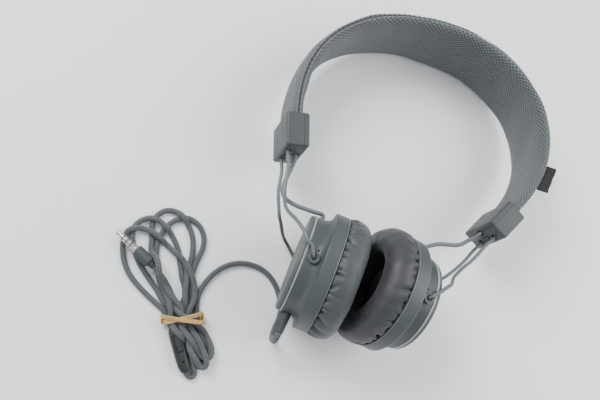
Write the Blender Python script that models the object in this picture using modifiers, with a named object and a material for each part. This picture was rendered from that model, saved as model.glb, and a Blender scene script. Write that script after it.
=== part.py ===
"""Wired on-ear headphones, laid on their side on a flat surface.

Units are metres, +Z is up, z = 0 is the surface.  The headband arch lies nearly
flat, the two ear cups rest on their rims with the cushions facing each other,
and the cord is folded into a hank beside the left cup.
"""
import math

import bmesh
import bpy
from mathutils import Matrix, Vector

MM = 0.001

# ---------------------------------------------------------------- placement
SHIFT = (4.83, -43.95, 0.0)      # puts the origin under the middle of the box
PLANE_Z = 32.05                 # headband plane: height at its own origin
PLANE_TILT = 4.626               # degrees, apex side lower

# ---------------------------------------------------------------- headband
APEX_V = 135.273
ARCH = {                          # length, end turn and bend shape of each half
    -1: (131.741, 12.631, 1.107, -0.716),
    1: (133.660, 29.684, 0.942, -0.733),
}
BAND_W_APEX = 42.0
BAND_W_END = 27.6
BAND_T = 7.8

# ---------------------------------------------------------------- end blocks
BLOCK_T = 12.4
BLOCK_L = 18.6
BLOCK_H = 29.0
BLOCK_IN = 3.0                    # how far the block reaches past the arch's end
BLOCK_TURN = {-1: 1.0, 1: 2.5}    # degrees the block turns inward from the band

# ---------------------------------------------------------------- yokes
WIRE_R = 0.95
WIRE_N = 3.3                      # wire's offset from the block's mid-thickness
WIRE_W = 6.7                      # half distance between the two wires
SLIDE_LEAN = {-1: 2.5, 1: 4.0}    # degrees the wires lean inward in the block
TRAVEL_IN = 7.0

# ---------------------------------------------------------------- ear cups
CUPS = {
    -1: ((-37.361, -16.681, 31.56), (0.9848, -0.1009, 0.1414)),
    1: ((-7.477, -15.031, 31.66), (-0.9808, 0.1276, 0.1476)),
}
RIM_R = 30.8
BODY_R = 25.4
PIVOT_S = 11.7                    # pivot line, behind the cushion seam
PIVOT_R = 26.75                   # where a yoke wire passes over its boss
WIRE_LEAN = {-1: 30.0, 1: 43.0}   # degrees the wires slant towards the cap there

# ---------------------------------------------------------------- cord
CORD_R = 1.45

COL = {
    "knit": ((0.132, 0.150, 0.162), 0.9, 0.0),
    "spring": ((0.50, 0.51, 0.52), 0.35, 1.0),
    "seam": ((0.20, 0.22, 0.235), 0.9, 0.0),
    "tag": ((0.012, 0.012, 0.014), 0.85, 0.0),
    "block": ((0.120, 0.140, 0.148), 0.55, 0.0),
    "screw": ((0.32, 0.33, 0.34), 0.35, 1.0),
    "wire": ((0.115, 0.130, 0.140), 0.38, 0.0),
    "slider": ((0.05, 0.055, 0.06), 0.5, 0.0),
    "lead": ((0.120, 0.135, 0.142), 0.6, 0.0),
    "cup": ((0.070, 0.082, 0.090), 0.5, 0.0),
    "trim": ((0.42, 0.46, 0.48), 0.3, 0.0),
    "cap": ((0.150, 0.165, 0.165), 0.5, 0.0),
    "inner": ((0.03, 0.03, 0.033), 0.6, 0.0),
    "cloth": ((0.012, 0.012, 0.013), 0.95, 0.0),
    "cushion": ((0.080, 0.086, 0.098), 0.45, 0.0),
    "rubber": ((0.070, 0.078, 0.085), 0.6, 0.0),
    "cord": ((0.085, 0.090, 0.096), 0.85, 0.0),
    "remote": ((0.035, 0.040, 0.038), 0.5, 0.0),
    "band": ((0.46, 0.36, 0.20), 0.6, 0.0),
    "gold": ((0.75, 0.72, 0.66), 0.2, 1.0),
    "ring": ((0.02, 0.02, 0.02), 0.5, 0.0),
}
CLASS_OF = {}


def start():
    for obj in list(bpy.data.objects):
        bpy.data.objects.remove(obj, do_unlink=True)
    scene = bpy.context.scene
    parts = bpy.data.collections.new("Headphones")
    cutters = bpy.data.collections.new("Cutters")
    cutters.hide_render = True
    scene.collection.children.link(parts)
    scene.collection.children.link(cutters)
    mats = {}
    for key, (rgb, rough, metal) in COL.items():
        mat = bpy.data.materials.new(key)
        mat.use_nodes = True
        bsdf = mat.node_tree.nodes["Principled BSDF"]
        bsdf.inputs["Base Color"].default_value = (*rgb, 1.0)
        bsdf.inputs["Roughness"].default_value = rough
        bsdf.inputs["Metallic"].default_value = metal
        mats[key] = mat
    return parts, cutters, mats


PARTS, CUTTERS, MATS = start()

WORLD = Matrix.Translation(Vector(SHIFT) * MM)
PLANE = WORLD @ Matrix.Translation((0, 0, PLANE_Z * MM)) @ Matrix.Rotation(
    -math.radians(PLANE_TILT), 4, "X"
)


def empty(name, matrix, parent=None):
    obj = bpy.data.objects.new(name, None)
    obj.empty_display_size = 0.01
    PARTS.objects.link(obj)
    obj.parent = parent
    obj.matrix_world = matrix
    if parent is not None:
        obj.matrix_parent_inverse = Matrix.Identity(4)
        obj.matrix_basis = parent_world(parent).inverted() @ matrix
    WORLDS[obj.name] = matrix
    return obj


WORLDS = {}


def parent_world(obj):
    return WORLDS[obj.name]


def put(name, data, matrix, mat, parent):
    """Link an object as a part, placed at matrix in the world."""
    obj = bpy.data.objects.new(name, data)
    PARTS.objects.link(obj)
    obj.parent = parent
    obj.matrix_parent_inverse = Matrix.Identity(4)
    obj.matrix_basis = parent_world(parent).inverted() @ matrix
    WORLDS[name] = matrix
    if mat is not None:
        data.materials.append(MATS[mat])
    return obj


def cutter(name, data, matrix):
    obj = bpy.data.objects.new(name, data)
    CUTTERS.objects.link(obj)
    obj.matrix_world = matrix
    obj.hide_render = True
    obj.display_type = "WIRE"
    WORLDS[name] = matrix
    return obj


def cut(obj, tool, operation="DIFFERENCE"):
    mod = obj.modifiers.new("Cut", "BOOLEAN")
    mod.operation = operation
    mod.solver = "EXACT"
    mod.object = tool
    return mod


def soften(obj, width, segments=2, angle=40):
    mod = obj.modifiers.new("Bevel", "BEVEL")
    mod.width = width * MM
    mod.segments = segments
    mod.limit_method = "ANGLE"
    mod.angle_limit = math.radians(angle)
    return mod


def box_data(name, size, centre=(0, 0, 0)):
    mesh = bpy.data.meshes.new(name)
    bm = bmesh.new()
    bmesh.ops.create_cube(bm, size=1.0)
    bmesh.ops.scale(bm, vec=Vector(size) * MM, verts=bm.verts)
    bmesh.ops.translate(bm, vec=Vector(centre) * MM, verts=bm.verts)
    bm.to_mesh(mesh)
    bm.free()
    return mesh


def cylinder_data(name, radius, low, high, sides=20, radius_high=None):
    """A closed cylinder or cone along local Z."""
    mesh = bpy.data.meshes.new(name)
    bm = bmesh.new()
    bmesh.ops.create_cone(
        bm,
        cap_ends=True,
        segments=sides,
        radius1=radius * MM,
        radius2=(radius if radius_high is None else radius_high) * MM,
        depth=(high - low) * MM,
    )
    bmesh.ops.translate(bm, vec=(0, 0, (high + low) / 2 * MM), verts=bm.verts)
    bm.to_mesh(mesh)
    bm.free()
    return mesh


def turned_data(name, profile, sides=48):
    """A closed solid of revolution about local Z from (radius, height) points.

    A profile that starts and ends on the axis makes a solid disc, any other one
    is closed into a ring.
    """
    solid = profile[0][0] == 0 and profile[-1][0] == 0
    mesh = bpy.data.meshes.new(name)
    bm = bmesh.new()
    verts = [bm.verts.new((r * MM, 0, z * MM)) for r, z in profile]
    edges = [bm.edges.new(pair) for pair in zip(verts, verts[1:])]
    if not solid:
        edges.append(bm.edges.new((verts[-1], verts[0])))
    bmesh.ops.spin(
        bm,
        geom=verts + edges,
        cent=(0, 0, 0),
        axis=(0, 0, 1),
        angle=math.tau,
        steps=sides,
        use_merge=False,
    )
    bmesh.ops.remove_doubles(bm, verts=bm.verts, dist=1e-6)
    bmesh.ops.recalc_face_normals(bm, faces=bm.faces)
    bm.to_mesh(mesh)
    bm.free()
    return mesh


def wire_data(name, points, radius, resolution=2):
    """A round wire or cord through points given in millimetres."""
    curve = bpy.data.curves.new(name, "CURVE")
    curve.dimensions = "3D"
    curve.bevel_depth = radius * MM
    curve.bevel_resolution = resolution
    curve.use_fill_caps = True
    spline = curve.splines.new("POLY")
    spline.points.add(len(points) - 1)
    for point, co in zip(spline.points, points):
        point.co = (*(Vector(co) * MM), 1.0)
    return curve


def wire_mesh(name, points, radius, resolution=2):
    """The same wire as a closed mesh, for use as a cutter or to be cut."""
    curve = wire_data(name + "_c", points, radius, resolution)
    tmp = bpy.data.objects.new(name + "_c", curve)
    CUTTERS.objects.link(tmp)
    graph = bpy.context.evaluated_depsgraph_get()
    mesh = bpy.data.meshes.new_from_object(tmp.evaluated_get(graph))
    mesh.name = name
    bpy.data.objects.remove(tmp, do_unlink=True)
    bm = bmesh.new()
    bm.from_mesh(mesh)
    bmesh.ops.remove_doubles(bm, verts=bm.verts, dist=1e-6)
    bmesh.ops.recalc_face_normals(bm, faces=bm.faces)
    bm.to_mesh(mesh)
    bm.free()
    return mesh


def smooth_path(route, step, sharp=0.5):
    """Points every step millimetres on a centripetal Catmull-Rom curve."""
    pts = [Vector(p) for p in route]
    pts = [pts[0] * 2 - pts[1]] + pts + [pts[-1] * 2 - pts[-2]]
    fine = []
    for i in range(1, len(pts) - 2):
        p0, p1, p2, p3 = pts[i - 1 : i + 3]
        t0 = 0.0
        t1 = t0 + max((p1 - p0).length, 1e-6) ** sharp
        t2 = t1 + max((p2 - p1).length, 1e-6) ** sharp
        t3 = t2 + max((p3 - p2).length, 1e-6) ** sharp
        for k in range(24):
            t = t1 + (t2 - t1) * k / 24
            a1 = p0 * ((t1 - t) / (t1 - t0)) + p1 * ((t - t0) / (t1 - t0))
            a2 = p1 * ((t2 - t) / (t2 - t1)) + p2 * ((t - t1) / (t2 - t1))
            a3 = p2 * ((t3 - t) / (t3 - t2)) + p3 * ((t - t2) / (t3 - t2))
            b1 = a1 * ((t2 - t) / (t2 - t0)) + a2 * ((t - t0) / (t2 - t0))
            b2 = a2 * ((t3 - t) / (t3 - t1)) + a3 * ((t - t1) / (t3 - t1))
            fine.append(b1 * ((t2 - t) / (t2 - t1)) + b2 * ((t - t1) / (t2 - t1)))
    fine.append(pts[-2])
    total = sum((b - a).length for a, b in zip(fine, fine[1:]))
    count = max(2, round(total / step))
    out, run, goal = [fine[0]], 0.0, total / count
    for a, b in zip(fine, fine[1:]):
        seg = (b - a).length
        while seg and run + seg >= goal - 1e-9 and len(out) < count:
            out.append(a + (b - a) * ((goal - run) / seg))
            goal += total / count
        run += seg
    out.append(fine[-1])
    return out


def thin_out(points, step_straight, bend=6.0):
    """Drop points of a polyline where it runs nearly straight."""
    keep = [points[0]]
    for i in range(1, len(points) - 1):
        a = (points[i] - keep[-1]).normalized()
        b = (points[i + 1] - points[i]).normalized()
        turned = math.degrees(a.angle(b))
        if turned > bend or (points[i] - keep[-1]).length > step_straight:
            keep.append(points[i])
    keep.append(points[-1])
    return keep


# ================================================================ headband
def arch_half(side, steps=400):
    length, beta, a3, a5 = ARCH[side]
    end = math.radians(90 + beta)

    def phi(q):
        return end * (q + a3 * (q**3 - q) + a5 * (q**5 - q))

    x, v, out = 0.0, APEX_V, [(0.0, APEX_V, 0.0)]
    for i in range(steps):
        f0, f1 = phi(i / steps), phi((i + 1) / steps)
        x += side * (math.cos(f0) + math.cos(f1)) / 2 * length / steps
        v -= (math.sin(f0) + math.sin(f1)) / 2 * length / steps
        out.append((x, v, f1))
    return out


HALF = {s: arch_half(s) for s in (-1, 1)}


def band_at(q):
    """Centre, outward normal and width of the band, q from -1 (left) to 1."""
    side = -1 if q < 0 else 1
    f = min(abs(q), 1.0) * 400
    i = min(int(f), 399)
    a, b = HALF[side][i], HALF[side][i + 1]
    x, v, phi = (a[k] + (b[k] - a[k]) * (f - i) for k in range(3))
    width = BAND_W_APEX + (BAND_W_END - BAND_W_APEX) * q * q
    return x, v, side * math.sin(phi), math.cos(phi), width


BAND_END = {s: 1 - (BLOCK_IN + 0.35) / ARCH[s][0] for s in (-1, 1)}
BAND_STEPS = 36


def band_qs(extra=0.0):
    low = -BAND_END[-1] - extra / ARCH[-1][0]
    high = BAND_END[1] + extra / ARCH[1][0]
    return [low + (high - low) * i / BAND_STEPS for i in range(BAND_STEPS + 1)]


def ribbon_data(name, ring, extra=0.0):
    """A closed band: ring(width) gives the section's (outward, across) points."""
    qs = band_qs(extra)
    count = len(ring(30.0))
    mesh = bpy.data.meshes.new(name)
    bm = bmesh.new()
    bmesh.ops.create_grid(bm, x_segments=len(qs) - 1, y_segments=count, size=1.0)
    for vert in bm.verts:
        i = round((vert.co.x + 1) / 2 * (len(qs) - 1))
        j = round((vert.co.y + 1) / 2 * count) % count
        x, v, nx, nv, width = band_at(qs[i])
        out, across = ring(width)[j]
        vert.co = Vector((x + nx * out, v + nv * out, across)) * MM
    bmesh.ops.remove_doubles(bm, verts=bm.verts, dist=1e-7)
    bmesh.ops.holes_fill(bm, edges=bm.edges, sides=0)
    bmesh.ops.recalc_face_normals(bm, faces=bm.faces)
    bm.to_mesh(mesh)
    bm.free()
    return mesh


def sleeve_ring(width, count=14):
    pts = []
    for j in range(count):
        a = math.tau * (j + 0.5) / count
        c, s = math.cos(a), math.sin(a)
        pts.append(
            (
                BAND_T / 2 * math.copysign(abs(s) ** 0.68, s),
                width / 2 * math.copysign(abs(c) ** 0.72, c),
            )
        )
    return pts


def strip_ring(thickness, margin):
    def ring(width):
        w, t = width / 2 - margin, thickness / 2
        return [(-t, -w), (t, -w), (t, w), (-t, w)]

    return ring


HEADBAND = empty("headband_frame", PLANE)

sleeve = put("band_sleeve", ribbon_data("band_sleeve", sleeve_ring), PLANE, "knit", HEADBAND)
tunnel = cutter(
    "band_tunnel", ribbon_data("band_tunnel", strip_ring(1.5, 5.0), extra=2.0), PLANE
)
cut(sleeve, tunnel)

# The spring strip's ends reach through slots into the blocks.
put(
    "band_spring",
    ribbon_data("band_spring", strip_ring(0.9, 5.6), extra=6.0),
    PLANE,
    "spring",
    HEADBAND,
)


def edge_line(qs, out_by, across_by):
    pts = []
    for q in qs:
        x, v, nx, nv, width = band_at(q)
        pts.append((x + nx * out_by, v + nv * out_by, width / 2 + across_by))
    return pts


put(
    "band_edge_seam",
    wire_data("band_edge_seam", edge_line(band_qs()[1:-1], 0.0, 0.95), 0.55, 0),
    PLANE,
    "seam",
    HEADBAND,
)

# Small folded fabric tag, held in the seam on the right-hand side.
tag_q = 0.79
tx, tv, tnx, tnv, tw = band_at(tag_q)
tag_frame = PLANE @ Matrix.Translation(
    Vector((tx + tnx * 5.6, tv + tnv * 5.6, tw / 2 - 1.0)) * MM
)
along = Vector((tnv, -tnx, 0))
outward = Vector((tnx * math.cos(0.45), tnv * math.cos(0.45), math.sin(0.45)))
third = outward.cross(along)
tag_frame = tag_frame @ Matrix((outward, along, third)).transposed().to_4x4()
tag = put("fabric_tag", box_data("fabric_tag", (4.6, 16.0, 0.8)), tag_frame, "tag", HEADBAND)
soften(tag, 0.25, 1)


# ================================================================ end blocks
def block_frame(side):
    """Local X outward, local Y towards the band, local Z across the band."""
    x, v, phi = HALF[side][-1]
    turn = math.radians(BLOCK_TURN[side])
    beta = phi - math.pi / 2 + turn
    out = Vector((side * math.cos(beta), -math.sin(beta), 0))
    up = Vector((side * math.sin(beta), math.cos(beta), 0))
    third = out.cross(up)
    rot = Matrix((out, up, third)).transposed().to_4x4()
    return PLANE @ Matrix.Translation(Vector((x, v, 0)) * MM) @ rot


def lean_frame(side):
    """The yoke's slide axis is local Y of this frame, at the wires' line."""
    base = block_frame(side)
    hinge = Matrix.Translation(Vector((WIRE_N, BLOCK_IN - BLOCK_L, 0)) * MM)
    lean = math.radians(SLIDE_LEAN[side])
    # local X is outward; leaning inward turns -Y towards -X
    return base @ hinge @ Matrix.Rotation(-lean, 4, "Z")


SIDE = {-1: "left", 1: "right"}
BLOCK = {}
MID_Y = BLOCK_IN - BLOCK_L / 2
SPLIT_X = -3.3                    # the inner cover starts here
for side, label in SIDE.items():
    frame = block_frame(side)
    hand = 1 if frame.to_3x3().determinant() > 0 else -1
    shell = put(
        label + "_block_shell",
        box_data(
            label + "_block_shell",
            (BLOCK_T / 2 - SPLIT_X, BLOCK_L, BLOCK_H),
            ((BLOCK_T / 2 + SPLIT_X) / 2, MID_Y, 0),
        ),
        frame,
        "block",
        HEADBAND,
    )
    soften(shell, 1.5, 3)
    hollow = cutter(
        label + "_block_hollow",
        box_data(
            label + "_block_hollow",
            (10.4, BLOCK_L - 4.0, BLOCK_H - 4.0),
            (5.15 - 10.4 / 2, MID_Y, 0),
        ),
        frame,
    )
    cut(shell, hollow)
    strip_slot = cutter(
        label + "_strip_slot",
        box_data(label + "_strip_slot", (1.7, 6.0, BAND_W_END - 10.2), (0, BLOCK_IN, 0)),
        frame,
    )
    cut(shell, strip_slot)
    for k, z in (("a", WIRE_W), ("b", -WIRE_W)):
        hole = cutter(
            label + "_wire_hole_" + k,
            box_data(
                label + "_wire_hole_" + k,
                (3.4, 6.0, 2.6),
                (WIRE_N - 0.35, BLOCK_IN - BLOCK_L, z),
            ),
            frame,
        )
        cut(shell, hole)
    lead_hole = cutter(
        label + "_lead_hole",
        box_data(
            label + "_lead_hole", (3.6, 6.0, 3.6), (-2.2, BLOCK_IN - BLOCK_L, -0.8)
        ),
        frame,
    )
    cut(shell, lead_hole)
    latch_recess = cutter(
        label + "_latch_recess",
        box_data(
            label + "_latch_recess", (2.6, 1.8, 5.0), (2.0, BLOCK_IN - BLOCK_L, 0.0)
        ),
        frame,
    )
    cut(shell, latch_recess)
    cover = put(
        label + "_block_cover",
        box_data(
            label + "_block_cover",
            (SPLIT_X - 0.35 + BLOCK_T / 2, BLOCK_L - 0.5, BLOCK_H - 0.6),
            ((SPLIT_X - 0.35 - BLOCK_T / 2) / 2, MID_Y, 0),
        ),
        frame,
        "block",
        HEADBAND,
    )
    soften(cover, 1.0, 2)
    lead_notch = cutter(
        label + "_lead_notch",
        box_data(
            label + "_lead_notch", (3.6, 7.0, 3.6), (-2.4, BLOCK_IN - BLOCK_L, -0.8)
        ),
        frame,
    )
    cut(cover, lead_notch)
    for k, z in (("upper", 9.0), ("lower", -9.0)):
        screw_frame = (
            frame
            @ Matrix.Translation(Vector((-BLOCK_T / 2, MID_Y, z)) * MM)
            @ Matrix.Rotation(-math.pi / 2, 4, "Y")
        )
        seat = cutter(
            label + "_seat_" + k,
            cylinder_data(label + "_seat_" + k, 1.75, -1.4, 1.0, 20),
            screw_frame,
        )
        cut(cover, seat)
        screw = put(
            label + "_screw_" + k,
            turned_data(
                label + "_screw_" + k,
                [(0, -1.1), (1.35, -1.1), (1.5, -0.9), (1.5, -0.35), (1.2, -0.1), (0, -0.1)],
                16,
            ),
            screw_frame,
            "screw",
            HEADBAND,
        )
        drive = cutter(
            label + "_drive_" + k,
            box_data(label + "_drive_" + k, (1.9, 0.45, 0.8), (0, 0, 0.0)),
            screw_frame,
        )
        cut(screw, drive)
    BLOCK[side] = frame


# ================================================================ ear cup frames
def cup_frame(side):
    """Local Z points from the cap to the cushion, Y towards the headband, and
    the origin is on the pivot line, which is local X."""
    centre, axis = CUPS[side]
    az = Vector(axis).normalized()
    ay = Vector((0, 1, 0)) - az * az.y
    ay = Vector((-az.y, az.x, 0)) * (1 if az.x > 0 else -1)
    ay.normalize()
    ax = ay.cross(az)
    rot = Matrix((ax, ay, az)).transposed().to_4x4()
    return WORLD @ Matrix.Translation((Vector(centre) - az * PIVOT_S) * MM) @ rot


CUP = {s: cup_frame(s) for s in (-1, 1)}


def s_of(profile):
    """Profile heights are given from the cushion seam."""
    return [(r, s + PIVOT_S) for r, s in profile]


# ================================================================ yokes
YOKE = {}
TOP_SIGN = {}
for side, label in SIDE.items():
    slide = empty(label + "_yoke_slide", lean_frame(side), HEADBAND)
    YOKE[side] = slide

# Route of each yoke wire below its block, in the headband plane's own X, V, W.
YOKE_ROUTE = {
    -1: {
        "front": [(-71.9, 17.0, 7.0), (-71.0, 11.2, 8.6), (-69.9, 6.4, 11.8), (-68.0, 2.9, 15.4),
                  (-65.2, 0.2, 18.4), (-61.8, -3.6, 21.0), (-59.6, -6.6, 22.6), (-57.0, -10.8, 23.6)],
        "back": [(-72.6, 20.4, -6.7), (-70.9, 14.5, -6.8), (-68.6, 7.8, -7.6), (-65.6, 5.0, -12.5),
                 (-62.6, 2.8, -19.0), (-59.6, 1.6, -24.8), (-55.6, -0.8, -28.4), (-51.2, -4.8, -29.8)],
    },
    1: {
        "front": [(35.5, 12.8, 6.7), (30.3, 6.6, 8.2), (26.4, 1.9, 10.8), (23.4, -1.9, 13.6),
                  (21.6, -5.0, 16.6), (20.3, -7.6, 19.0), (17.4, -10.3, 20.9)],
        "back": [(37.4, 15.4, -6.7), (26.9, 2.4, -7.2), (23.2, 0.4, -11.0), (18.6, -0.8, -17.4),
                 (13.8, -1.8, -23.4), (9.9, -3.6, -27.6), (6.4, -6.2, -29.6)],
    },
}


def to_world(point):
    return PLANE @ (Vector(point) * MM)


for side, label in SIDE.items():
    frame = lean_frame(side)
    inv = frame.inverted()
    cup_inv = CUP[side].inverted()
    # In the slide frame, Y runs into the block; the crossbar sits inside it.
    bar_y = 4.2
    top = [
        (0, 1.2, 0), (0, bar_y, 0),
    ]
    arms = {}
    for key, sign in (("front", 1), ("back", -1)):
        # which way local Z runs compared with the headband plane's W
        wz = sign * (1 if (frame.to_3x3() @ Vector((0, 0, 1))).z > 0 else -1)
        straight = [Vector((0, y, WIRE_W * wz)) for y in (bar_y - 2.2, -1.0, -7.5)]
        route = [inv @ to_world(p) / MM for p in YOKE_ROUTE[side][key]]
        centre, axis = CUPS[side]
        # pivot on the cup: front is the side away from the surface
        up = 1 if (CUP[side].to_3x3() @ Vector((1, 0, 0))).z > 0 else -1
        px = up * sign
        slant = math.tan(math.radians(WIRE_LEAN[side]))
        near = [
            (px * (PIVOT_R + 0.15), 5.2, -5.2 * slant),
            (px * PIVOT_R, 2.0, -2.0 * slant),
            (px * (PIVOT_R - 0.25), 0.75, -0.75 * slant),
            (px * (PIVOT_R - 1.1), 0.12, 0.0),
            (px * (PIVOT_R - 2.2), 0.0, 0.0),
            (px * (PIVOT_R - 4.6), 0.0, 0.0),
        ]
        near = [inv @ (CUP[side] @ (Vector(p) * MM)) / MM for p in near]
        arms[key] = (wz, straight, route, near)
    paths = {}
    for key, (wz, straight, route, near) in arms.items():
        path = smooth_path(straight[-2:] + route + near[:2], 1.3)
        paths[key] = straight[:1] + thin_out(path, 6.0, 5.0) + near[2:]
        arms[key] = wz
    wz = arms["front"]
    cross = [
        Vector((0, bar_y - 0.7, (WIRE_W - 0.1) * wz)),
        Vector((0, bar_y - 0.1, (WIRE_W - 0.7) * wz)),
        Vector((0, bar_y, (WIRE_W - 2.2) * wz)),
        Vector((0, bar_y, -(WIRE_W - 2.2) * wz)),
        Vector((0, bar_y - 0.1, -(WIRE_W - 0.7) * wz)),
        Vector((0, bar_y - 0.7, -(WIRE_W - 0.1) * wz)),
    ]
    whole = list(reversed(paths["front"])) + cross + paths["back"]
    put(
        label + "_yoke_wire",
        wire_data(label + "_yoke_wire", whole, WIRE_R, 2),
        frame,
        "wire",
        YOKE[side],
    )
    # Friction clip that grips the crossbar inside the block.
    clip = put(
        label + "_yoke_clip",
        box_data(label + "_yoke_clip", (2.4, 3.2, 6.4), (-0.6, bar_y, 0)),
        frame,
        "slider",
        YOKE[side],
    )
    groove = cutter(
        label + "_clip_groove",
        box_data(label + "_clip_groove", (3.06, 2.06, 9.0), (0.5, bar_y, 0)),
        frame,
    )
    cut(clip, groove)


# ================================================================ ear cups
CUP_EMPTY = {}
SHELL = [
    (30.8, -0.55), (30.8, -6.6), (30.6, -7.0), (30.0, -7.2), (28.4, -7.35), (26.9, -7.7),
    (25.9, -8.3), (25.5, -9.0), (25.4, -9.4), (25.4, -15.5), (25.1, -15.8), (23.4, -15.8),
    (23.4, -9.0), (23.9, -7.6), (24.9, -6.5), (26.9, -5.8), (28.9, -5.4), (28.9, -3.0),
    (29.3, -3.0), (29.3, -0.55),
]
TRIM = [(25.55, -16.1), (25.55, -16.65), (23.2, -16.65), (23.2, -16.1)]
CAP = [(0, -19.1), (23.8, -19.1), (24.6, -19.0), (25.05, -18.6), (25.2, -18.1), (25.2, -16.95), (0, -16.95)]
BAFFLE = [(29.0, -2.65), (29.0, -0.75), (17.2, -0.75), (17.2, -2.65)]
DRIVER = [
    (0, -9.0), (9.0, -9.0), (9.0, -5.4), (16.0, -4.0), (16.9, -3.6), (16.9, -0.9), (0, -0.9),
]
CLOTH = [(0, -0.55), (15.5, -0.55), (15.5, 0.0), (0, 0.0)]
CUSHION = [
    (30.3, 0.25), (31.2, 2.4), (31.5, 5.2), (30.9, 8.2), (29.3, 10.8), (26.7, 12.6),
    (23.2, 13.2), (19.9, 12.6), (17.1, 10.6), (15.8, 7.6), (15.5, 4.0), (15.9, 0.25),
]

front_l = Vector(CUPS[-1][0])
front_r = Vector(CUPS[1][0])
facing = (Vector(CUPS[-1][1]).normalized() - Vector(CUPS[1][1]).normalized()).normalized()
middle = (front_l + front_r) / 2

for side, label in SIDE.items():
    frame = CUP[side]
    hinge = empty(label + "_cup_hinge", frame, YOKE[side])
    CUP_EMPTY[side] = hinge
    shell = put(label + "_cup_shell", turned_data(label + "_cup_shell", s_of(SHELL), 36), frame, "cup", hinge)
    # Pivot bores, front (away from the surface) and back, and the lead's hole
    # towards the headband.
    up = 1 if (frame.to_3x3() @ Vector((1, 0, 0))).z > 0 else -1
    for k, sign in (("front", up), ("back", -up)):
        turn = Matrix.Rotation(sign * math.pi / 2, 4, "Y")
        bore = cutter(
            label + "_pivot_bore_" + k,
            cylinder_data(label + "_pivot_bore_" + k, 1.05, 21.0, 30.0, 20),
            frame @ turn,
        )
        cut(shell, bore)
    lead_bore = cutter(
        label + "_lead_bore",
        cylinder_data(label + "_lead_bore", 1.75, 21.5, 29.0, 20),
        frame
        @ Matrix.Translation((0, 0, (-13.0 + PIVOT_S) * MM))
        @ Matrix.Rotation(-math.pi / 2, 4, "X"),
    )
    cut(shell, lead_bore)
    for k, sign in (("front", up), ("back", -up)):
        turn = Matrix.Rotation(sign * math.pi / 2, 4, "Y")
        boss = put(
            label + "_pivot_boss_" + k,
            cylinder_data(label + "_pivot_boss_" + k, 2.4, 25.75, 27.35, 20),
            frame @ turn,
            "cup",
            hinge,
        )
        soften(boss, 0.3, 1)
        bore = bpy.data.objects[label + "_pivot_bore_" + k]
        cut(boss, bore)
        channel = cutter(
            label + "_channel_" + k,
            box_data(label + "_channel_" + k, (2.7, 6.0, 6.0), (0, 3.0, 26.8)),
            frame @ turn @ Matrix.Rotation(-sign * math.radians(WIRE_LEAN[side]), 4, "Z"),
        )
        cut(boss, channel)
    put(label + "_trim_ring", turned_data(label + "_trim_ring", s_of(TRIM), 36), frame, "trim", hinge)
    put(label + "_cup_cap", turned_data(label + "_cup_cap", s_of(CAP), 36), frame, "cap", hinge)
    put(label + "_baffle", turned_data(label + "_baffle", s_of(BAFFLE), 28), frame, "inner", hinge)
    put(label + "_driver", turned_data(label + "_driver", s_of(DRIVER), 20), frame, "inner", hinge)
    put(label + "_speaker_cloth", turned_data(label + "_speaker_cloth", s_of(CLOTH), 24), frame, "cloth", hinge)
    cushion = put(
        label + "_cushion", turned_data(label + "_cushion", s_of(CUSHION), 28), frame, "cushion", hinge
    )
    # The two soft cushions press on each other: each is flattened short of the
    # plane between them.
    gap = 1.6
    zaxis = facing * (-side)
    xaxis = Vector((0, 0, 1)).cross(zaxis).normalized()
    yaxis = zaxis.cross(xaxis)
    plane_rot = Matrix((xaxis, yaxis, zaxis)).transposed().to_4x4()
    press = cutter(
        label + "_press",
        box_data(label + "_press", (120, 120, 40), (0, 0, 20)),
        WORLD @ Matrix.Translation((middle - zaxis * gap) * MM) @ plane_rot,
    )
    cut(cushion, press)


# ================================================================ audio leads
def cup_point(side, local):
    """A point in a cup's own frame, heights counted from the cushion seam."""
    x, y, s = local
    return CUP[side] @ (Vector((x, y, s + PIVOT_S)) * MM)


LEAD_ROUTE = {
    -1: [(-69.9, 33.2, -0.6), (-70.9, 27.5, -0.4), (-71.7, 22.3, 0.0), (-71.7, 18.6, 0.0),
         (-70.0, 15.6, 0.0), (-67.4, 14.0, 0.2), (-63.2, 12.9, 0.4), (-57.8, 12.7, 0.3), (-52.6, 12.9, -0.4)],
    1: [(34.4, 25.0, -0.4), (31.6, 22.3, 0.0), (28.0, 20.2, 0.2), (22.8, 18.8, 0.4),
        (17.4, 17.4, 0.2), (12.8, 15.0, -0.6)],
}
for side, label in SIDE.items():
    frame = lean_frame(side)
    inv = frame.inverted()
    blk = BLOCK[side]
    inside = [
        inv @ (blk @ (Vector(p) * MM)) / MM
        for p in ((-2.2, -8.0, -0.8), (-2.2, -11.0, -0.8), (-2.2, -15.6, -0.8), (-2.0, -18.2, -0.7))
    ]
    route = [inv @ to_world(p) / MM for p in LEAD_ROUTE[side]]
    entry = [
        inv @ cup_point(side, p) / MM
        for p in ((0, 28.4, -13.0), (0, 26.6, -13.0), (0, 22.4, -13.0))
    ]
    path = smooth_path(inside[1:] + route + entry, 2.0)
    path = inside[:1] + thin_out(path, 5.0, 4.0)
    put(
        label + "_audio_lead",
        wire_data(label + "_audio_lead", path, 1.15, 1),
        frame,
        "lead",
        YOKE[side],
    )


# ================================================================ cord side
LCUP = CUP[-1]
LHINGE = CUP_EMPTY[-1]
relief_frame = (
    LCUP
    @ Matrix.Translation((0, 0, (-12.9 + PIVOT_S) * MM))
    @ Matrix.Rotation(math.pi / 2, 4, "X")
)
put(
    "strain_relief",
    turned_data(
        "strain_relief",
        [(0, 25.75), (2.6, 25.75), (2.5, 27.4), (1.95, 35.4), (1.8, 36.0), (0, 36.0)],
        20,
    ),
    relief_frame,
    "rubber",
    LHINGE,
)

relief_end = relief_frame @ (Vector((0, 0, 36.4)) * MM)
relief_dir = (relief_frame.to_3x3() @ Vector((0, 0, 1))).normalized()


def world_mm(p):
    """Millimetres before the origin shift, to metres in the world."""
    return WORLD @ (Vector(p) * MM)


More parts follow.
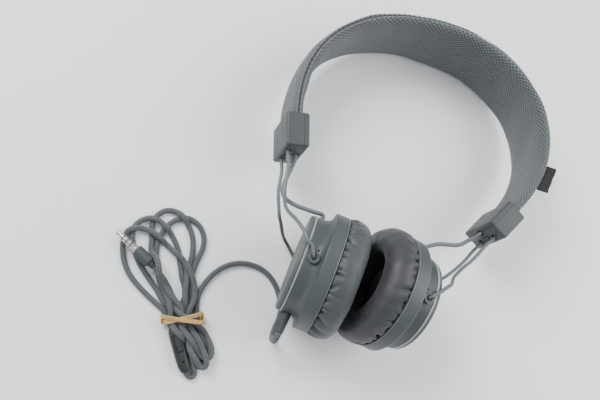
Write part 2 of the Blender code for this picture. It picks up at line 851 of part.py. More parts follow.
lcup_inv = LCUP.inverted()
start_mm = (WORLD.inverted() @ relief_end) / MM
CORD_ROUTE = [
    tuple(start_mm),
    tuple(start_mm + relief_dir * 1.4),
    tuple(start_mm + relief_dir * 3.0 + Vector((0, 0, -0.9))),
    tuple(start_mm + relief_dir * 4.3 + Vector((0.3, 0, -4.4))),
    tuple(start_mm + relief_dir * 3.6 + Vector((1.2, 0, -12.0))),
    tuple(start_mm + relief_dir * 0.6 + Vector((3.2, 0, -21.0))),
    (-50.6, -46.5, 3.6),
    (-49.4, -40.0, 1.9),
    (-50.8, -33.6, 1.75),
    (-54.4, -27.4, 1.75),
    (-59.2, -22.2, 1.75),
    (-65.6, -18.9, 1.75),
    (-72.2, -18.2, 1.75),
    (-79.0, -19.5, 1.75),
    (-85.0, -22.9, 1.75),
    (-89.7, -28.2, 1.75),
    (-92.6, -34.6, 2.4),
    (-93.3, -40.0, 3.4),
]
cord_pts = [lcup_inv @ world_mm(p) / MM for p in CORD_ROUTE]
put(
    "cord",
    wire_data("cord", cord_pts[:1] + smooth_path(cord_pts[1:], 5.0), CORD_R, 2),
    LCUP,
    "cord",
    LHINGE,
)

# The folded length: outline of the hank seen from above, as one slab with
# rounded ends.  The tie runs in a groove under it.
HANK = [
    (-141.2, -20.5), (-140.4, -28.6), (-135.6, -37.6), (-126.0, -46.0), (-114.6, -52.2), (-108.0, -55.4),
    (-105.4, -58.4), (-99.4, -59.2), (-93.4, -68.0), (-89.2, -74.0), (-84.8, -78.0), (-81.0, -79.2),
    (-78.0, -76.6), (-76.8, -70.0), (-79.8, -62.8), (-85.0, -57.6), (-89.0, -53.6), (-91.8, -46.0),
    (-95.6, -44.6), (-97.8, -22.0), (-98.0, -13.0), (-103.0, -5.2), (-110.6, -2.2), (-121.4, -1.2),
    (-130.2, -6.0), (-135.0, -11.6), (-139.4, -15.2),
]
mesh = bpy.data.meshes.new("cord_hank")
bm = bmesh.new()
ring = [bm.verts.new((x * MM, y * MM, 0.0002)) for x, y in HANK]
face = bm.faces.new(ring)
made = bmesh.ops.extrude_face_region(bm, geom=[face])
bmesh.ops.translate(
    bm,
    vec=(0, 0, 0.0066),
    verts=[g for g in made["geom"] if isinstance(g, bmesh.types.BMVert)],
)
bmesh.ops.recalc_face_normals(bm, faces=bm.faces)
bm.to_mesh(mesh)
bm.free()
hank = put("cord_hank", mesh, WORLD, "cord", LHINGE)
soften(hank, 2.2, 2, 30)


def flat_frame(x, y, z, heading, roll=0.0, pitch=0.0):
    """Local Y along the heading in the surface, local Z up."""
    return (
        WORLD
        @ Matrix.Translation(Vector((x, y, z)) * MM)
        @ Matrix.Rotation(heading - math.pi / 2, 4, "Z")
        @ Matrix.Rotation(pitch, 4, "X")
        @ Matrix.Rotation(roll, 4, "Y")
    )


# In-line remote, lying beside the lower loops.
rx0, ry0, rx1, ry1 = -102.2, -61.5, -89.5, -80.8
heading = math.atan2(ry1 - ry0, rx1 - rx0)
REMOTE_L = 24.4
remote_frame = flat_frame((rx0 + rx1) / 2, (ry0 + ry1) / 2, 3.75, heading)


def remote_half(name, low, high):
    obj = put(
        name,
        box_data(name, (6.6, REMOTE_L, high - low), (0, 0, (high + low) / 2)),
        remote_frame,
        "remote",
        LHINGE,
    )
    return obj


remote_lower = remote_half("remote_lower_shell", -3.3, -0.15)
soften(remote_lower, 1.3, 3)
remote_upper = remote_half("remote_upper_shell", 0.15, 3.2)
soften(remote_upper, 1.3, 3)
well = cutter(
    "remote_button_well",
    box_data("remote_button_well", (3.4, 8.8, 4.0), (0, -3.0, 3.5)),
    remote_frame,
)
cut(remote_upper, well)
mic = cutter(
    "remote_mic_hole",
    cylinder_data("remote_mic_hole", 0.55, 1.6, 4.0, 12),
    remote_frame @ Matrix.Translation((0, 6.4 * MM, 0)),
)
cut(remote_upper, mic)
press_frame = remote_frame @ Matrix.Translation((0, -3.0 * MM, 0))
press_axis = empty("remote_button_slide", press_frame, LHINGE)
button = put(
    "remote_button",
    box_data("remote_button", (2.8, 8.2, 1.1), (0, 0, 2.85)),
    press_frame,
    "remote",
    press_axis,
)
soften(button, 0.4, 2)

# Plug: a moulded body with a metal 3.5 mm four-contact pin.
px0, py0, px1, py1 = -132.1, -29.3, -120.5, -35.2
out_dir = math.atan2(py0 - py1, px0 - px1)
plug_frame = (
    WORLD
    @ Matrix.Translation(Vector((px0, py0, 7.0)) * MM)
    @ Matrix.Rotation(out_dir, 4, "Z")
    @ Matrix.Rotation(math.pi / 2 + 0.05, 4, "Y")
)
put(
    "plug_body",
    turned_data(
        "plug_body",
        [(0, -12.8), (1.7, -12.8), (2.2, -10.6), (3.1, -9.6), (3.25, -9.0), (3.25, -0.8), (2.9, -0.2), (0, -0.2)],
        24,
    ),
    plug_frame,
    "rubber",
    LHINGE,
)
put(
    "plug_pin",
    turned_data(
        "plug_pin",
        [
            (0, 0.1), (2.3, 0.1), (2.3, 0.9), (1.75, 1.0), (1.75, 10.4), (1.55, 11.0), (1.2, 11.5),
            (1.6, 12.4), (1.5, 13.0), (0.7, 14.0), (0, 14.2),
        ],
        16,
    ),
    plug_frame,
    "gold",
    LHINGE,
)

plug_pocket = cutter(
    "plug_pocket",
    box_data("plug_pocket", (12.0, 7.4, 40.0), (0.0, 0.0, 6.4)),
    plug_frame,
)
cut(hank, plug_pocket)

# Rubber band round the hank.
tie_turn = math.radians(20.4)
tie_frame = (
    WORLD
    @ Matrix.Translation(Vector((-98.3, -55.9, 4.35)) * MM)
    @ Matrix.Rotation(tie_turn, 4, "Z")
)
tie_groove = cutter(
    "tie_groove", box_data("tie_groove", (60.0, 6.4, 4.0), (0, 0, -4.55)), tie_frame
)
cut(hank, tie_groove)
mesh = bpy.data.meshes.new("rubber_band")
bm = bmesh.new()
bmesh.ops.create_cone(
    bm, cap_ends=False, segments=28, radius1=1.0, radius2=1.0, depth=4.6 * MM
)
for vert in bm.verts:
    c, s = vert.co.x, vert.co.y
    vert.co = Vector(
        (
            12.0 * MM * math.copysign(abs(c) ** 0.35, c),
            vert.co.z,
            3.1 * MM * math.copysign(abs(s) ** 0.35, s),
        )
    )
bm.normal_update()
for face in bm.faces:
    middle_of = face.calc_center_median()
    if face.normal.x * middle_of.x + face.normal.z * middle_of.z < 0:
        face.normal_flip()
bm.to_mesh(mesh)
bm.free()
tie = put("rubber_band", mesh, tie_frame, "band", LHINGE)
skin = tie.modifiers.new("Thickness", "SOLIDIFY")
skin.thickness = 0.9 * MM
skin.offset = 1.0

bpy.context.view_layer.update()
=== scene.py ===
"""Looks for wired on-ear headphones lying on their side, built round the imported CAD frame."""
import bpy
import bmesh
import math
import numpy as np
from mathutils import Matrix, Vector


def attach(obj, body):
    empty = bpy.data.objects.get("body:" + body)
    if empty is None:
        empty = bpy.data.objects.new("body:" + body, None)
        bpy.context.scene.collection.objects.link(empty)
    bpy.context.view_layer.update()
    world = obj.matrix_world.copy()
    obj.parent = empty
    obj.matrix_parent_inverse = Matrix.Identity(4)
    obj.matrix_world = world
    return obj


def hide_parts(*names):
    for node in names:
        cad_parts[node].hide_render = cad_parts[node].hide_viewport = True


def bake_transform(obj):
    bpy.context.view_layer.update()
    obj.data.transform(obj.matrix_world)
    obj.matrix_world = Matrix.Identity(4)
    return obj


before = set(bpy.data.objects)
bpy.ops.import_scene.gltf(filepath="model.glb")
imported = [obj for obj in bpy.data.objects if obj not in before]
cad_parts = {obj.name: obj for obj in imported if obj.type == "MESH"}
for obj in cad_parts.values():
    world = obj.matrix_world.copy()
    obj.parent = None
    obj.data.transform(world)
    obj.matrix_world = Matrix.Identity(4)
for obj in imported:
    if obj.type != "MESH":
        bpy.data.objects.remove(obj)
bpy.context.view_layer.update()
for name in ("Cube", "Light", "Camera"):
    if name in bpy.data.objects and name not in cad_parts:
        bpy.data.objects.remove(bpy.data.objects[name], do_unlink=True)

MM = 0.001
SHIFT = (4.83, -43.95, 0.0)
PLANE_Z = 32.05
PLANE_TILT = 4.626
APEX_V = 135.273
ARCH = {-1: (131.741, 12.631, 1.107, -0.716), 1: (133.660, 29.684, 0.942, -0.733)}
BAND_W_APEX, BAND_W_END, BAND_T = 42.0, 27.6, 7.8
BLOCK_T, BLOCK_L, BLOCK_H, BLOCK_IN = 12.4, 18.6, 29.0, 3.0
BLOCK_TURN = {-1: 1.0, 1: 2.5}
WIRE_R, WIRE_N, WIRE_W = 0.95, 3.3, 6.7
SLIDE_LEAN = {-1: 2.5, 1: 4.0}
CUPS = {
    -1: ((-37.361, -16.681, 31.56), (0.9848, -0.1009, 0.1414)),
    1: ((-7.477, -15.031, 31.66), (-0.9808, 0.1276, 0.1476)),
}
PIVOT_S, PIVOT_R = 11.7, 26.75
WIRE_LEAN = {-1: 30.0, 1: 43.0}
CORD_R = 1.45
SIDE = {-1: "left", 1: "right"}
RNG = np.random.default_rng(20)

# ------------------------------------------------------------------ frames
WORLD = Matrix.Translation(Vector(SHIFT) * MM)
PLANE = WORLD @ Matrix.Translation((0, 0, PLANE_Z * MM)) @ Matrix.Rotation(
    -math.radians(PLANE_TILT), 4, "X"
)


def arch_half(side, steps=400):
    length, beta, a3, a5 = ARCH[side]
    end = math.radians(90 + beta)
    phi = lambda q: end * (q + a3 * (q**3 - q) + a5 * (q**5 - q))
    x, v, out = 0.0, APEX_V, [(0.0, APEX_V, 0.0)]
    for i in range(steps):
        f0, f1 = phi(i / steps), phi((i + 1) / steps)
        x += side * (math.cos(f0) + math.cos(f1)) / 2 * length / steps
        v -= (math.sin(f0) + math.sin(f1)) / 2 * length / steps
        out.append((x, v, f1))
    return out


HALF = {s: arch_half(s) for s in (-1, 1)}


def band_at(q):
    side = -1 if q < 0 else 1
    f = min(abs(q), 1.0) * 400
    i = min(int(f), 399)
    a, b = HALF[side][i], HALF[side][i + 1]
    x, v, phi = (a[k] + (b[k] - a[k]) * (f - i) for k in range(3))
    width = BAND_W_APEX + (BAND_W_END - BAND_W_APEX) * q * q
    return x, v, side * math.sin(phi), math.cos(phi), width


def block_frame(side):
    x, v, phi = HALF[side][-1]
    beta = phi - math.pi / 2 + math.radians(BLOCK_TURN[side])
    out = Vector((side * math.cos(beta), -math.sin(beta), 0))
    up = Vector((side * math.sin(beta), math.cos(beta), 0))
    rot = Matrix((out, up, out.cross(up))).transposed().to_4x4()
    return PLANE @ Matrix.Translation(Vector((x, v, 0)) * MM) @ rot


def lean_frame(side):
    hinge = Matrix.Translation(Vector((WIRE_N, BLOCK_IN - BLOCK_L, 0)) * MM)
    lean = math.radians(SLIDE_LEAN[side])
    return block_frame(side) @ hinge @ Matrix.Rotation(-lean, 4, "Z")


def cup_frame(side):
    centre, axis = CUPS[side]
    az = Vector(axis).normalized()
    ay = Vector((-az.y, az.x, 0)) * (1 if az.x > 0 else -1)
    ay.normalize()
    rot = Matrix((ay.cross(az), ay, az)).transposed().to_4x4()
    return WORLD @ Matrix.Translation((Vector(centre) - az * PIVOT_S) * MM) @ rot


CUP = {s: cup_frame(s) for s in (-1, 1)}
# +1 where a cup's local X points away from the surface it lies on
UP = {s: (1 if CUP[s].to_3x3().col[0].z > 0 else -1) for s in (-1, 1)}


def to_world(point):
    return PLANE @ (Vector(point) * MM)


def fit_mm(p):
    return WORLD @ (Vector(p) * MM)


# ------------------------------------------------------------------ materials
def srgb(r, g, b):
    out = []
    for c in (r, g, b):
        c /= 255
        out.append(c / 12.92 if c <= 0.04045 else ((c + 0.055) / 1.055) ** 2.4)
    return tuple(out)


class Nodes:
    """A short way to write a material's node tree."""

    def __init__(self, name):
        self.mat = bpy.data.materials.new(name)
        self.mat.use_nodes = True
        self.tree = self.mat.node_tree
        self.tree.nodes.clear()
        self.out = self.tree.nodes.new("ShaderNodeOutputMaterial")
        self.bsdf = self.tree.nodes.new("ShaderNodeBsdfPrincipled")
        self.tree.links.new(self.bsdf.outputs[0], self.out.inputs["Surface"])
        self.coord = self.tree.nodes.new("ShaderNodeTexCoord").outputs["Object"]

    def link(self, a, b):
        self.tree.links.new(a, b)

    def value(self, x, socket):
        if hasattr(x, "is_linked"):
            self.link(x, socket)
        else:
            socket.default_value = x

    def math(self, op, a, b=0.0, c=0.0, clamp=False):
        n = self.tree.nodes.new("ShaderNodeMath")
        n.operation = op
        n.use_clamp = clamp
        for x, s in zip((a, b, c), n.inputs):
            self.value(x, s)
        return n.outputs[0]

    def noise(self, size, detail=3.0, rough=0.5, coord=None, stretch=None):
        co = coord or self.coord
        if stretch:
            m = self.tree.nodes.new("ShaderNodeMapping")
            m.inputs["Scale"].default_value = stretch
            self.link(co, m.inputs["Vector"])
            co = m.outputs[0]
        n = self.tree.nodes.new("ShaderNodeTexNoise")
        n.inputs["Scale"].default_value = 1.0 / size
        n.inputs["Detail"].default_value = detail
        n.inputs["Roughness"].default_value = rough
        self.link(co, n.inputs["Vector"])
        return n.outputs["Fac"]

    def voronoi(self, size, feature="F1"):
        n = self.tree.nodes.new("ShaderNodeTexVoronoi")
        n.feature = feature
        n.inputs["Scale"].default_value = 1.0 / size
        self.link(self.coord, n.inputs["Vector"])
        return n.outputs["Distance"]

    def ramp(self, fac, low, high, out_low=0.0, out_high=1.0):
        n = self.tree.nodes.new("ShaderNodeMapRange")
        n.clamp = True
        self.value(fac, n.inputs["Value"])
        n.inputs["From Min"].default_value = low
        n.inputs["From Max"].default_value = high
        n.inputs["To Min"].default_value = out_low
        n.inputs["To Max"].default_value = out_high
        return n.outputs["Result"]

    def mix(self, fac, a, b):
        n = self.tree.nodes.new("ShaderNodeMix")
        n.data_type = "RGBA"
        self.value(fac, n.inputs["Factor"])
        for x, s in ((a, n.inputs["A"]), (b, n.inputs["B"])):
            if hasattr(x, "is_linked"):
                self.link(x, s)
            else:
                s.default_value = (*x, 1.0)
        return n.outputs["Result"]

    def attribute(self, name):
        n = self.tree.nodes.new("ShaderNodeAttribute")
        n.attribute_name = name
        return n

    def bump(self, height, distance, strength=1.0, normal=None):
        n = self.tree.nodes.new("ShaderNodeBump")
        n.inputs["Strength"].default_value = strength
        n.inputs["Distance"].default_value = distance
        self.link(height, n.inputs["Height"])
        if normal is not None:
            self.link(normal, n.inputs["Normal"])
        return n.outputs[0]

    def set(self, **kw):
        for key, x in kw.items():
            self.value(x, self.bsdf.inputs[key.replace("_", " ")])


def scale_rgb(rgb, k):
    return tuple(min(c * k, 1.0) for c in rgb)


def plastic(name, rgb, rough=0.5, grain=0.00045, depth=0.00003, vary=0.07, wear=0.0, coat=0.0, spec=0.5):
    """Moulded plastic or paint: fine grain, cloudy tone, faint handling marks."""
    m = Nodes(name)
    cloud = m.noise(0.013, 4.0, 0.6)
    col = m.mix(m.ramp(cloud, 0.3, 0.7), scale_rgb(rgb, 1 - vary), scale_rgb(rgb, 1 + vary))
    fine = m.noise(grain, 2.0)
    col = m.mix(m.ramp(fine, 0.35, 0.75, 0.0, 0.22), col, scale_rgb(rgb, 0.78))
    # short rubbed marks, where hands and bags have touched it
    rub = m.noise(0.004, 6.0, 0.7, stretch=(1.0, 3.2, 0.7))
    rub = m.ramp(rub, 0.60, 0.72)
    col = m.mix(m.math("MULTIPLY", rub, 0.18), col, scale_rgb(rgb, 1.55))
    # lighter on sharp edges: partly edge wear, partly a painted highlight where light catches the edges
    if wear:
        geo = m.tree.nodes.new("ShaderNodeNewGeometry")
        edge = m.ramp(geo.outputs["Pointiness"], 0.52, 0.60)
        edge = m.math("MULTIPLY", edge, m.ramp(cloud, 0.25, 0.6, 0.4, 1.0))
        col = m.mix(m.math("MULTIPLY", edge, wear), col, scale_rgb(rgb, 1.9))
    m.set(Base_Color=col, Roughness=m.ramp(cloud, 0.3, 0.7, rough - 0.06, rough + 0.07))
    m.bsdf.inputs["Specular IOR Level"].default_value = spec
    m.bsdf.inputs["Coat Weight"].default_value = coat
    m.bsdf.inputs["Coat Roughness"].default_value = 0.25
    n = m.bump(fine, depth, 0.7)
    m.set(Normal=m.bump(rub, depth * 0.4, 0.3, n))
    return m.mat


def metal(name, rgb, rough=0.25):
    m = Nodes(name)
    cloud = m.noise(0.003, 5.0, 0.7)
    m.set(
        Base_Color=m.mix(m.ramp(cloud, 0.35, 0.7), scale_rgb(rgb, 0.82), rgb),
        Roughness=m.ramp(m.noise(0.0008, 4.0), 0.3, 0.7, rough - 0.07, rough + 0.1),
        Metallic=1.0,
    )
    m.set(Normal=m.bump(m.noise(0.0004, 3.0, stretch=(1, 1, 6)), 0.000012, 0.5))
    return m.mat


def leatherette(name, rgb):
    m = Nodes(name)
    cloud = m.noise(0.010, 4.0, 0.55)
    col = m.mix(m.ramp(cloud, 0.32, 0.68), scale_rgb(rgb, 0.88), scale_rgb(rgb, 1.10))
    pebble = m.voronoi(0.00055, "SMOOTH_F1")
    crack = m.ramp(m.voronoi(0.0011, "DISTANCE_TO_EDGE"), 0.0, 0.10)
    col = m.mix(m.ramp(crack, 0.0, 1.0, 0.16, 0.0), col, scale_rgb(rgb, 0.55))
    # painted shade darkens the bottoms of the creases
    depth = m.attribute("crease").outputs["Fac"]
    col = m.mix(m.ramp(depth, 0.15, 1.0, 0.0, 0.78), col, scale_rgb(rgb, 0.20))
    m.set(Base_Color=col, Roughness=m.ramp(m.noise(0.005, 4.0), 0.3, 0.7, 0.44, 0.60))
    m.bsdf.inputs["Specular IOR Level"].default_value = 0.42
    m.bsdf.inputs["Sheen Weight"].default_value = 0.08
    n = m.bump(pebble, 0.00004, 0.55)
    n = m.bump(crack, 0.00003, 0.5, n)
    m.set(Normal=m.bump(m.noise(0.0035, 5.0, 0.6), 0.00016, 0.55, n))
    return m.mat


def knit_material(name, rgb):
    """Reads the mesh's own pattern: x and y of the attribute are millimetres along and across."""
    m = Nodes(name)
    at = m.attribute("knit")
    sep = m.tree.nodes.new("ShaderNodeSeparateXYZ")
    m.link(at.outputs["Vector"], sep.inputs[0])
    u, v, hole = sep.outputs
    a = m.math("COSINE", m.math("MULTIPLY", u, 2 * math.pi / KNIT_U))
    b = m.math("COSINE", m.math("MULTIPLY", v, 2 * math.pi / KNIT_V))
    ab = m.math("MULTIPLY", a, b)
    strand = m.math("MULTIPLY", m.math("ADD", u, v), 2 * math.pi / 0.62)
    other = m.math("MULTIPLY", m.math("SUBTRACT", u, v), 2 * math.pi / 0.62)
    fibre = m.math("MULTIPLY", m.math("ADD", m.math("SINE", strand), m.math("SINE", other)), 0.25)
    heather = m.noise(0.0007, 3.0, 0.7)
    cloud = m.noise(0.02, 3.0)
    col = m.mix(m.ramp(heather, 0.3, 0.7), scale_rgb(rgb, 0.80), scale_rgb(rgb, 1.22))
    col = m.mix(m.ramp(cloud, 0.3, 0.7, 0.0, 0.25), col, scale_rgb(rgb, 0.80))
    # painted shade in the gaps between the loops, and a painted highlight on the loop crowns
    col = m.mix(m.ramp(ab, -0.05, -0.62), col, scale_rgb(rgb, 0.30))
    col = m.mix(m.ramp(ab, 0.45, 1.0, 0.0, 0.35), col, scale_rgb(rgb, 1.5))
    # near-black along the seam groove, from the attribute's third value: painted shade
    col = m.mix(hole, col, scale_rgb(rgb, 0.10))
    m.set(Base_Color=col, Roughness=0.88)
    m.bsdf.inputs["Sheen Weight"].default_value = 0.25
    m.bsdf.inputs["Sheen Roughness"].default_value = 0.5
    n = m.bump(ab, 0.00022, 0.55)
    m.set(Normal=m.bump(fibre, 0.00008, 0.5, n))
    return m.mat


def braid_material(name, rgb):
    m = Nodes(name)
    at = m.attribute("braid")
    sep = m.tree.nodes.new("ShaderNodeSeparateXYZ")
    m.link(at.outputs["Vector"], sep.inputs[0])
    u, ang, _ = sep.outputs
    along = m.math("MULTIPLY", u, 2 * math.pi / 2.3)
    around = m.math("MULTIPLY", ang, 5.0)
    a = m.math("COSINE", m.math("ADD", along, around))
    b = m.math("COSINE", m.math("SUBTRACT", along, around))
    ab = m.math("MULTIPLY", a, b)
    rib = m.math("COSINE", m.math("MULTIPLY", ang, 5.0))
    fibre = m.math("SINE", m.math("MULTIPLY", m.math("ADD", u, m.math("MULTIPLY", ang, 1.45)), 2 * math.pi / 0.5))
    heather = m.noise(0.0009, 3.0, 0.7)
    col = m.mix(m.ramp(heather, 0.3, 0.7), scale_rgb(rgb, 0.80), scale_rgb(rgb, 1.2))
    # painted shade between the strands and in the ribs, and a painted highlight on the strand crowns
    col = m.mix(m.ramp(ab, -0.1, -0.8, 0.0, 0.85), col, scale_rgb(rgb, 0.42))
    col = m.mix(m.ramp(ab, 0.3, 1.0, 0.0, 0.55), col, scale_rgb(rgb, 1.65))
    col = m.mix(m.ramp(rib, -0.5, -1.0, 0.0, 0.35), col, scale_rgb(rgb, 0.5))
    m.set(Base_Color=col, Roughness=0.82)
    m.bsdf.inputs["Sheen Weight"].default_value = 0.2
    n = m.bump(ab, 0.00018, 0.6)
    m.set(Normal=m.bump(fibre, 0.00004, 0.4, n))
    return m.mat


def woven(name, rgb, pitch=0.0004, rough=0.85):
    m = Nodes(name)
    w = m.tree.nodes.new("ShaderNodeTexWave")
    w.inputs["Scale"].default_value = 1 / pitch / 6.28
    w.inputs["Distortion"].default_value = 1.5
    m.link(m.coord, w.inputs["Vector"])
    weave = w.outputs["Fac"]
    fuzz = m.noise(0.0008, 4.0, 0.7)
    col = m.mix(m.ramp(fuzz, 0.3, 0.7), scale_rgb(rgb, 0.75), scale_rgb(rgb, 1.25))
    # lighter on the raised threads: painted highlight
    col = m.mix(m.math("MULTIPLY", weave, 0.3), col, scale_rgb(rgb, 1.6))
    m.set(Base_Color=col, Roughness=rough)
    m.bsdf.inputs["Sheen Weight"].default_value = 0.1
    m.set(Normal=m.bump(weave, 0.00005, 0.5))
    return m.mat


def elastic(name, rgb):
    m = Nodes(name)
    cloud = m.noise(0.004, 5.0, 0.65)
    col = m.mix(m.ramp(cloud, 0.3, 0.7), scale_rgb(rgb, 0.75), scale_rgb(rgb, 1.15))
    spots = m.noise(0.0009, 3.0)
    col = m.mix(m.ramp(spots, 0.62, 0.75, 0.0, 0.5), col, scale_rgb((rgb[0] * 1.1, rgb[1] * 0.75, rgb[2] * 0.6), 0.75))
    m.set(Base_Color=col, Roughness=0.55)
    m.bsdf.inputs["Subsurface Weight"].default_value = 0.15
    m.bsdf.inputs["Subsurface Radius"].default_value = (0.001, 0.0006, 0.0003)
    m.set(Normal=m.bump(m.noise(0.0006, 4.0, stretch=(1, 1, 5)), 0.00006, 0.6))
    return m.mat


KNIT_U, KNIT_V = 2.9, 2.3
FLOOR_A, FLOOR_B = srgb(244, 244, 245), srgb(248, 248, 249)
WORLD_LIGHT = 0.78
LAMPS = [
    ("Key", (-0.80, 0.45, 0.85), 0.6, 17.0),
    ("Fill", (0.9, 0.3, 0.9), 1.0, 15.0),
]
MAT = {
    "knit": knit_material("knit", srgb(91, 97, 100)),
    "seam": woven("seam", srgb(94, 101, 104)),
    "stitch": woven("stitch", srgb(132, 141, 143)),
    "tag": woven("tag", srgb(24, 24, 26), 0.0005),
    "block": plastic("block", srgb(58, 63, 64), 0.5, wear=0.25),
    "screw": metal("screw", srgb(170, 172, 174), 0.32),
    "wire": plastic("wire", srgb(86, 93, 96), 0.36, depth=0.000012, vary=0.05, coat=0.15),
    "slider": plastic("slider", srgb(52, 56, 60), 0.5),
    "lead": plastic("lead", srgb(98, 105, 108), 0.5, depth=0.00001),
    "cup": plastic("cup", srgb(64, 70, 73), 0.46, wear=0.3),
    "trim": plastic("trim", srgb(152, 158, 159), 0.3, depth=0.000006, vary=0.03, coat=0.3),
    "cap": plastic("cap", srgb(77, 82, 80), 0.55, grain=0.0006, depth=0.00006, wear=0.2),
    "inner": plastic("inner", srgb(34, 35, 37), 0.6),
    # near-black, used for the seam gap ring as painted shadow
    "dark": plastic("dark", srgb(18, 19, 21), 0.7),
    "cloth": woven("cloth", srgb(26, 27, 29), 0.0006),
    # one leatherette for both pads; the right pad's copy is darker as painted shade
    "cushion_left": leatherette("cushion_left", srgb(61, 66, 68)),
    "cushion_right": leatherette("cushion_right", srgb(51, 52, 56)),
    # lighter than the cup: painted edge highlight on the rim beads
    "lip": plastic("lip", srgb(101, 107, 110), 0.35, depth=0.000008, coat=0.2),
    # darker copy of the trim for the left cup: painted shade on one of two like rings
    "trim_left": plastic("trim_left", srgb(134, 141, 144), 0.3, depth=0.000006, vary=0.03, coat=0.3),
    "rubber": plastic("rubber", srgb(58, 64, 67), 0.62, grain=0.0003, depth=0.00002),
    "cord": braid_material("cord", srgb(83, 88, 91)),
    "remote": plastic("remote", srgb(30, 35, 34), 0.5, grain=0.0003),
    "band": elastic("band", srgb(186, 152, 88)),
    "gold": metal("gold", srgb(222, 220, 214), 0.18),
    "ring": plastic("ring", srgb(22, 22, 24), 0.45),
    "spring": metal("spring", srgb(176, 178, 180), 0.35),
}


# ------------------------------------------------------------------ building
def add(name, data, matrix=None, mat=None, slot=None, body=None, replaces=(), smooth=40):
    """An object in the row frame, its place in its mesh, with a material."""
    obj = bpy.data.objects.new(name, data)
    bpy.context.scene.collection.objects.link(obj)
    if matrix is not None:
        data.transform(matrix)
        if matrix.to_3x3().determinant() < 0:
            data.flip_normals()
    if mat:
        data.materials.clear()
        data.materials.append(MAT[mat])
    if obj.type == "MESH" and smooth:
        data.shade_smooth()
        if smooth < 180:
            data.set_sharp_from_angle(angle=math.radians(smooth))
    PENDING.append((obj, slot, body, replaces))
    return obj


PENDING = []


def bake(obj, smooth=40):
    """Apply the object's modifiers to its mesh."""
    graph = bpy.context.evaluated_depsgraph_get()
    mesh = bpy.data.meshes.new_from_object(obj.evaluated_get(graph))
    old = obj.data
    obj.modifiers.clear()
    obj.data = mesh
    bpy.data.meshes.remove(old)
    mesh.shade_smooth()
    if smooth < 180:
        mesh.set_sharp_from_angle(angle=math.radians(smooth))
    return obj


def tool(data, matrix):
    obj = bpy.data.objects.new("tool", data)
    bpy.context.scene.collection.objects.link(obj)
    data.transform(matrix)
    obj.hide_render = True
    return obj


def carve(obj, tools, smooth=40):
    for t in tools:
        mod = obj.modifiers.new("Cut", "BOOLEAN")
        mod.operation, mod.solver, mod.object = "DIFFERENCE", "EXACT", t
    bpy.context.view_layer.update()
    bake(obj, smooth)
    for t in tools:
        bpy.data.objects.remove(t, do_unlink=True)
    return obj


def bevel(obj, width, segments=5, angle=40, smooth=40):
    mod = obj.modifiers.new("Bevel", "BEVEL")
    mod.width, mod.segments = width * MM, segments
    mod.limit_method, mod.angle_limit = "ANGLE", math.radians(angle)
    bpy.context.view_layer.update()
    return bake(obj, smooth)


def box_data(size, centre=(0, 0, 0)):
    mesh = bpy.data.meshes.new("box")
    bm = bmesh.new()
    bmesh.ops.create_cube(bm, size=1.0)
    bmesh.ops.scale(bm, vec=Vector(size) * MM, verts=bm.verts)
    bmesh.ops.translate(bm, vec=Vector(centre) * MM, verts=bm.verts)
    bm.to_mesh(mesh)
    bm.free()
    return mesh


def cylinder_data(radius, low, high, sides=48):
    mesh = bpy.data.meshes.new("cylinder")
    bm = bmesh.new()
    bmesh.ops.create_cone(bm, cap_ends=True, segments=sides, radius1=radius * MM,
                          radius2=radius * MM, depth=(high - low) * MM)
    bmesh.ops.translate(bm, vec=(0, 0, (high + low) / 2 * MM), verts=bm.verts)
    bm.to_mesh(mesh)
    bm.free()
    return mesh


def grid_mesh(name, points, wrap_u=False, wrap_v=False, attribute=None, values=None, cap=False):
    """A mesh from a (nu, nv, 3) array in metres."""
    nu, nv = points.shape[:2]
    idx = np.arange(nu * nv).reshape(nu, nv)
    iu = np.arange(nu if wrap_u else nu - 1)
    iv = np.arange(nv if wrap_v else nv - 1)
    a = idx[np.ix_(iu, iv)]
    b = idx[np.ix_((iu + 1) % nu, iv)]
    c = idx[np.ix_((iu + 1) % nu, (iv + 1) % nv)]
    d = idx[np.ix_(iu, (iv + 1) % nv)]
    quads = np.stack([a, b, c, d], -1).reshape(-1, 4)
    faces = [tuple(map(int, q)) for q in quads]
    if cap:
        faces.append(tuple(int(i) for i in idx[0]))
        faces.append(tuple(int(i) for i in idx[-1][::-1]))
    mesh = bpy.data.meshes.new(name)
    mesh.from_pydata(points.reshape(-1, 3).tolist(), [], faces)
    if attribute:
        at = mesh.attributes.new(attribute, "FLOAT_VECTOR", "POINT")
        at.data.foreach_set("vector", np.ascontiguousarray(values, np.float32).reshape(-1))
    mesh.update()
    return mesh


def outward(mesh):
    bm = bmesh.new()
    bm.from_mesh(mesh)
    bmesh.ops.recalc_face_normals(bm, faces=bm.faces)
    bm.to_mesh(mesh)
    bm.free()
    return mesh


def smooth_profile(profile, step=0.35, closed=False, keep=25.0):
    """Rounds a turned profile's corners with short arcs (r, s in mm)."""
    pts = [Vector((p[0], p[1], 0)) for p in profile]
    n = len(pts)
    out = []
    for i, p in enumerate(pts):
        if not closed and i in (0, n - 1):
            out.append((p.x, p.y))
            continue
        a, b = pts[i - 1] - p, pts[(i + 1) % n] - p
        if a.length < 1e-6 or b.length < 1e-6:
            continue
        bend = 180 - math.degrees(a.angle(b))
        if bend < keep:
            out.append((p.x, p.y))
            continue
        cut = min(step, a.length * 0.45, b.length * 0.45)
        p0, p2 = p + a.normalized() * cut, p + b.normalized() * cut
        for k in range(5):
            t = k / 4
            q = p0 * (1 - t) ** 2 + p * 2 * t * (1 - t) + p2 * t * t
            out.append((q.x, q.y))
    return out


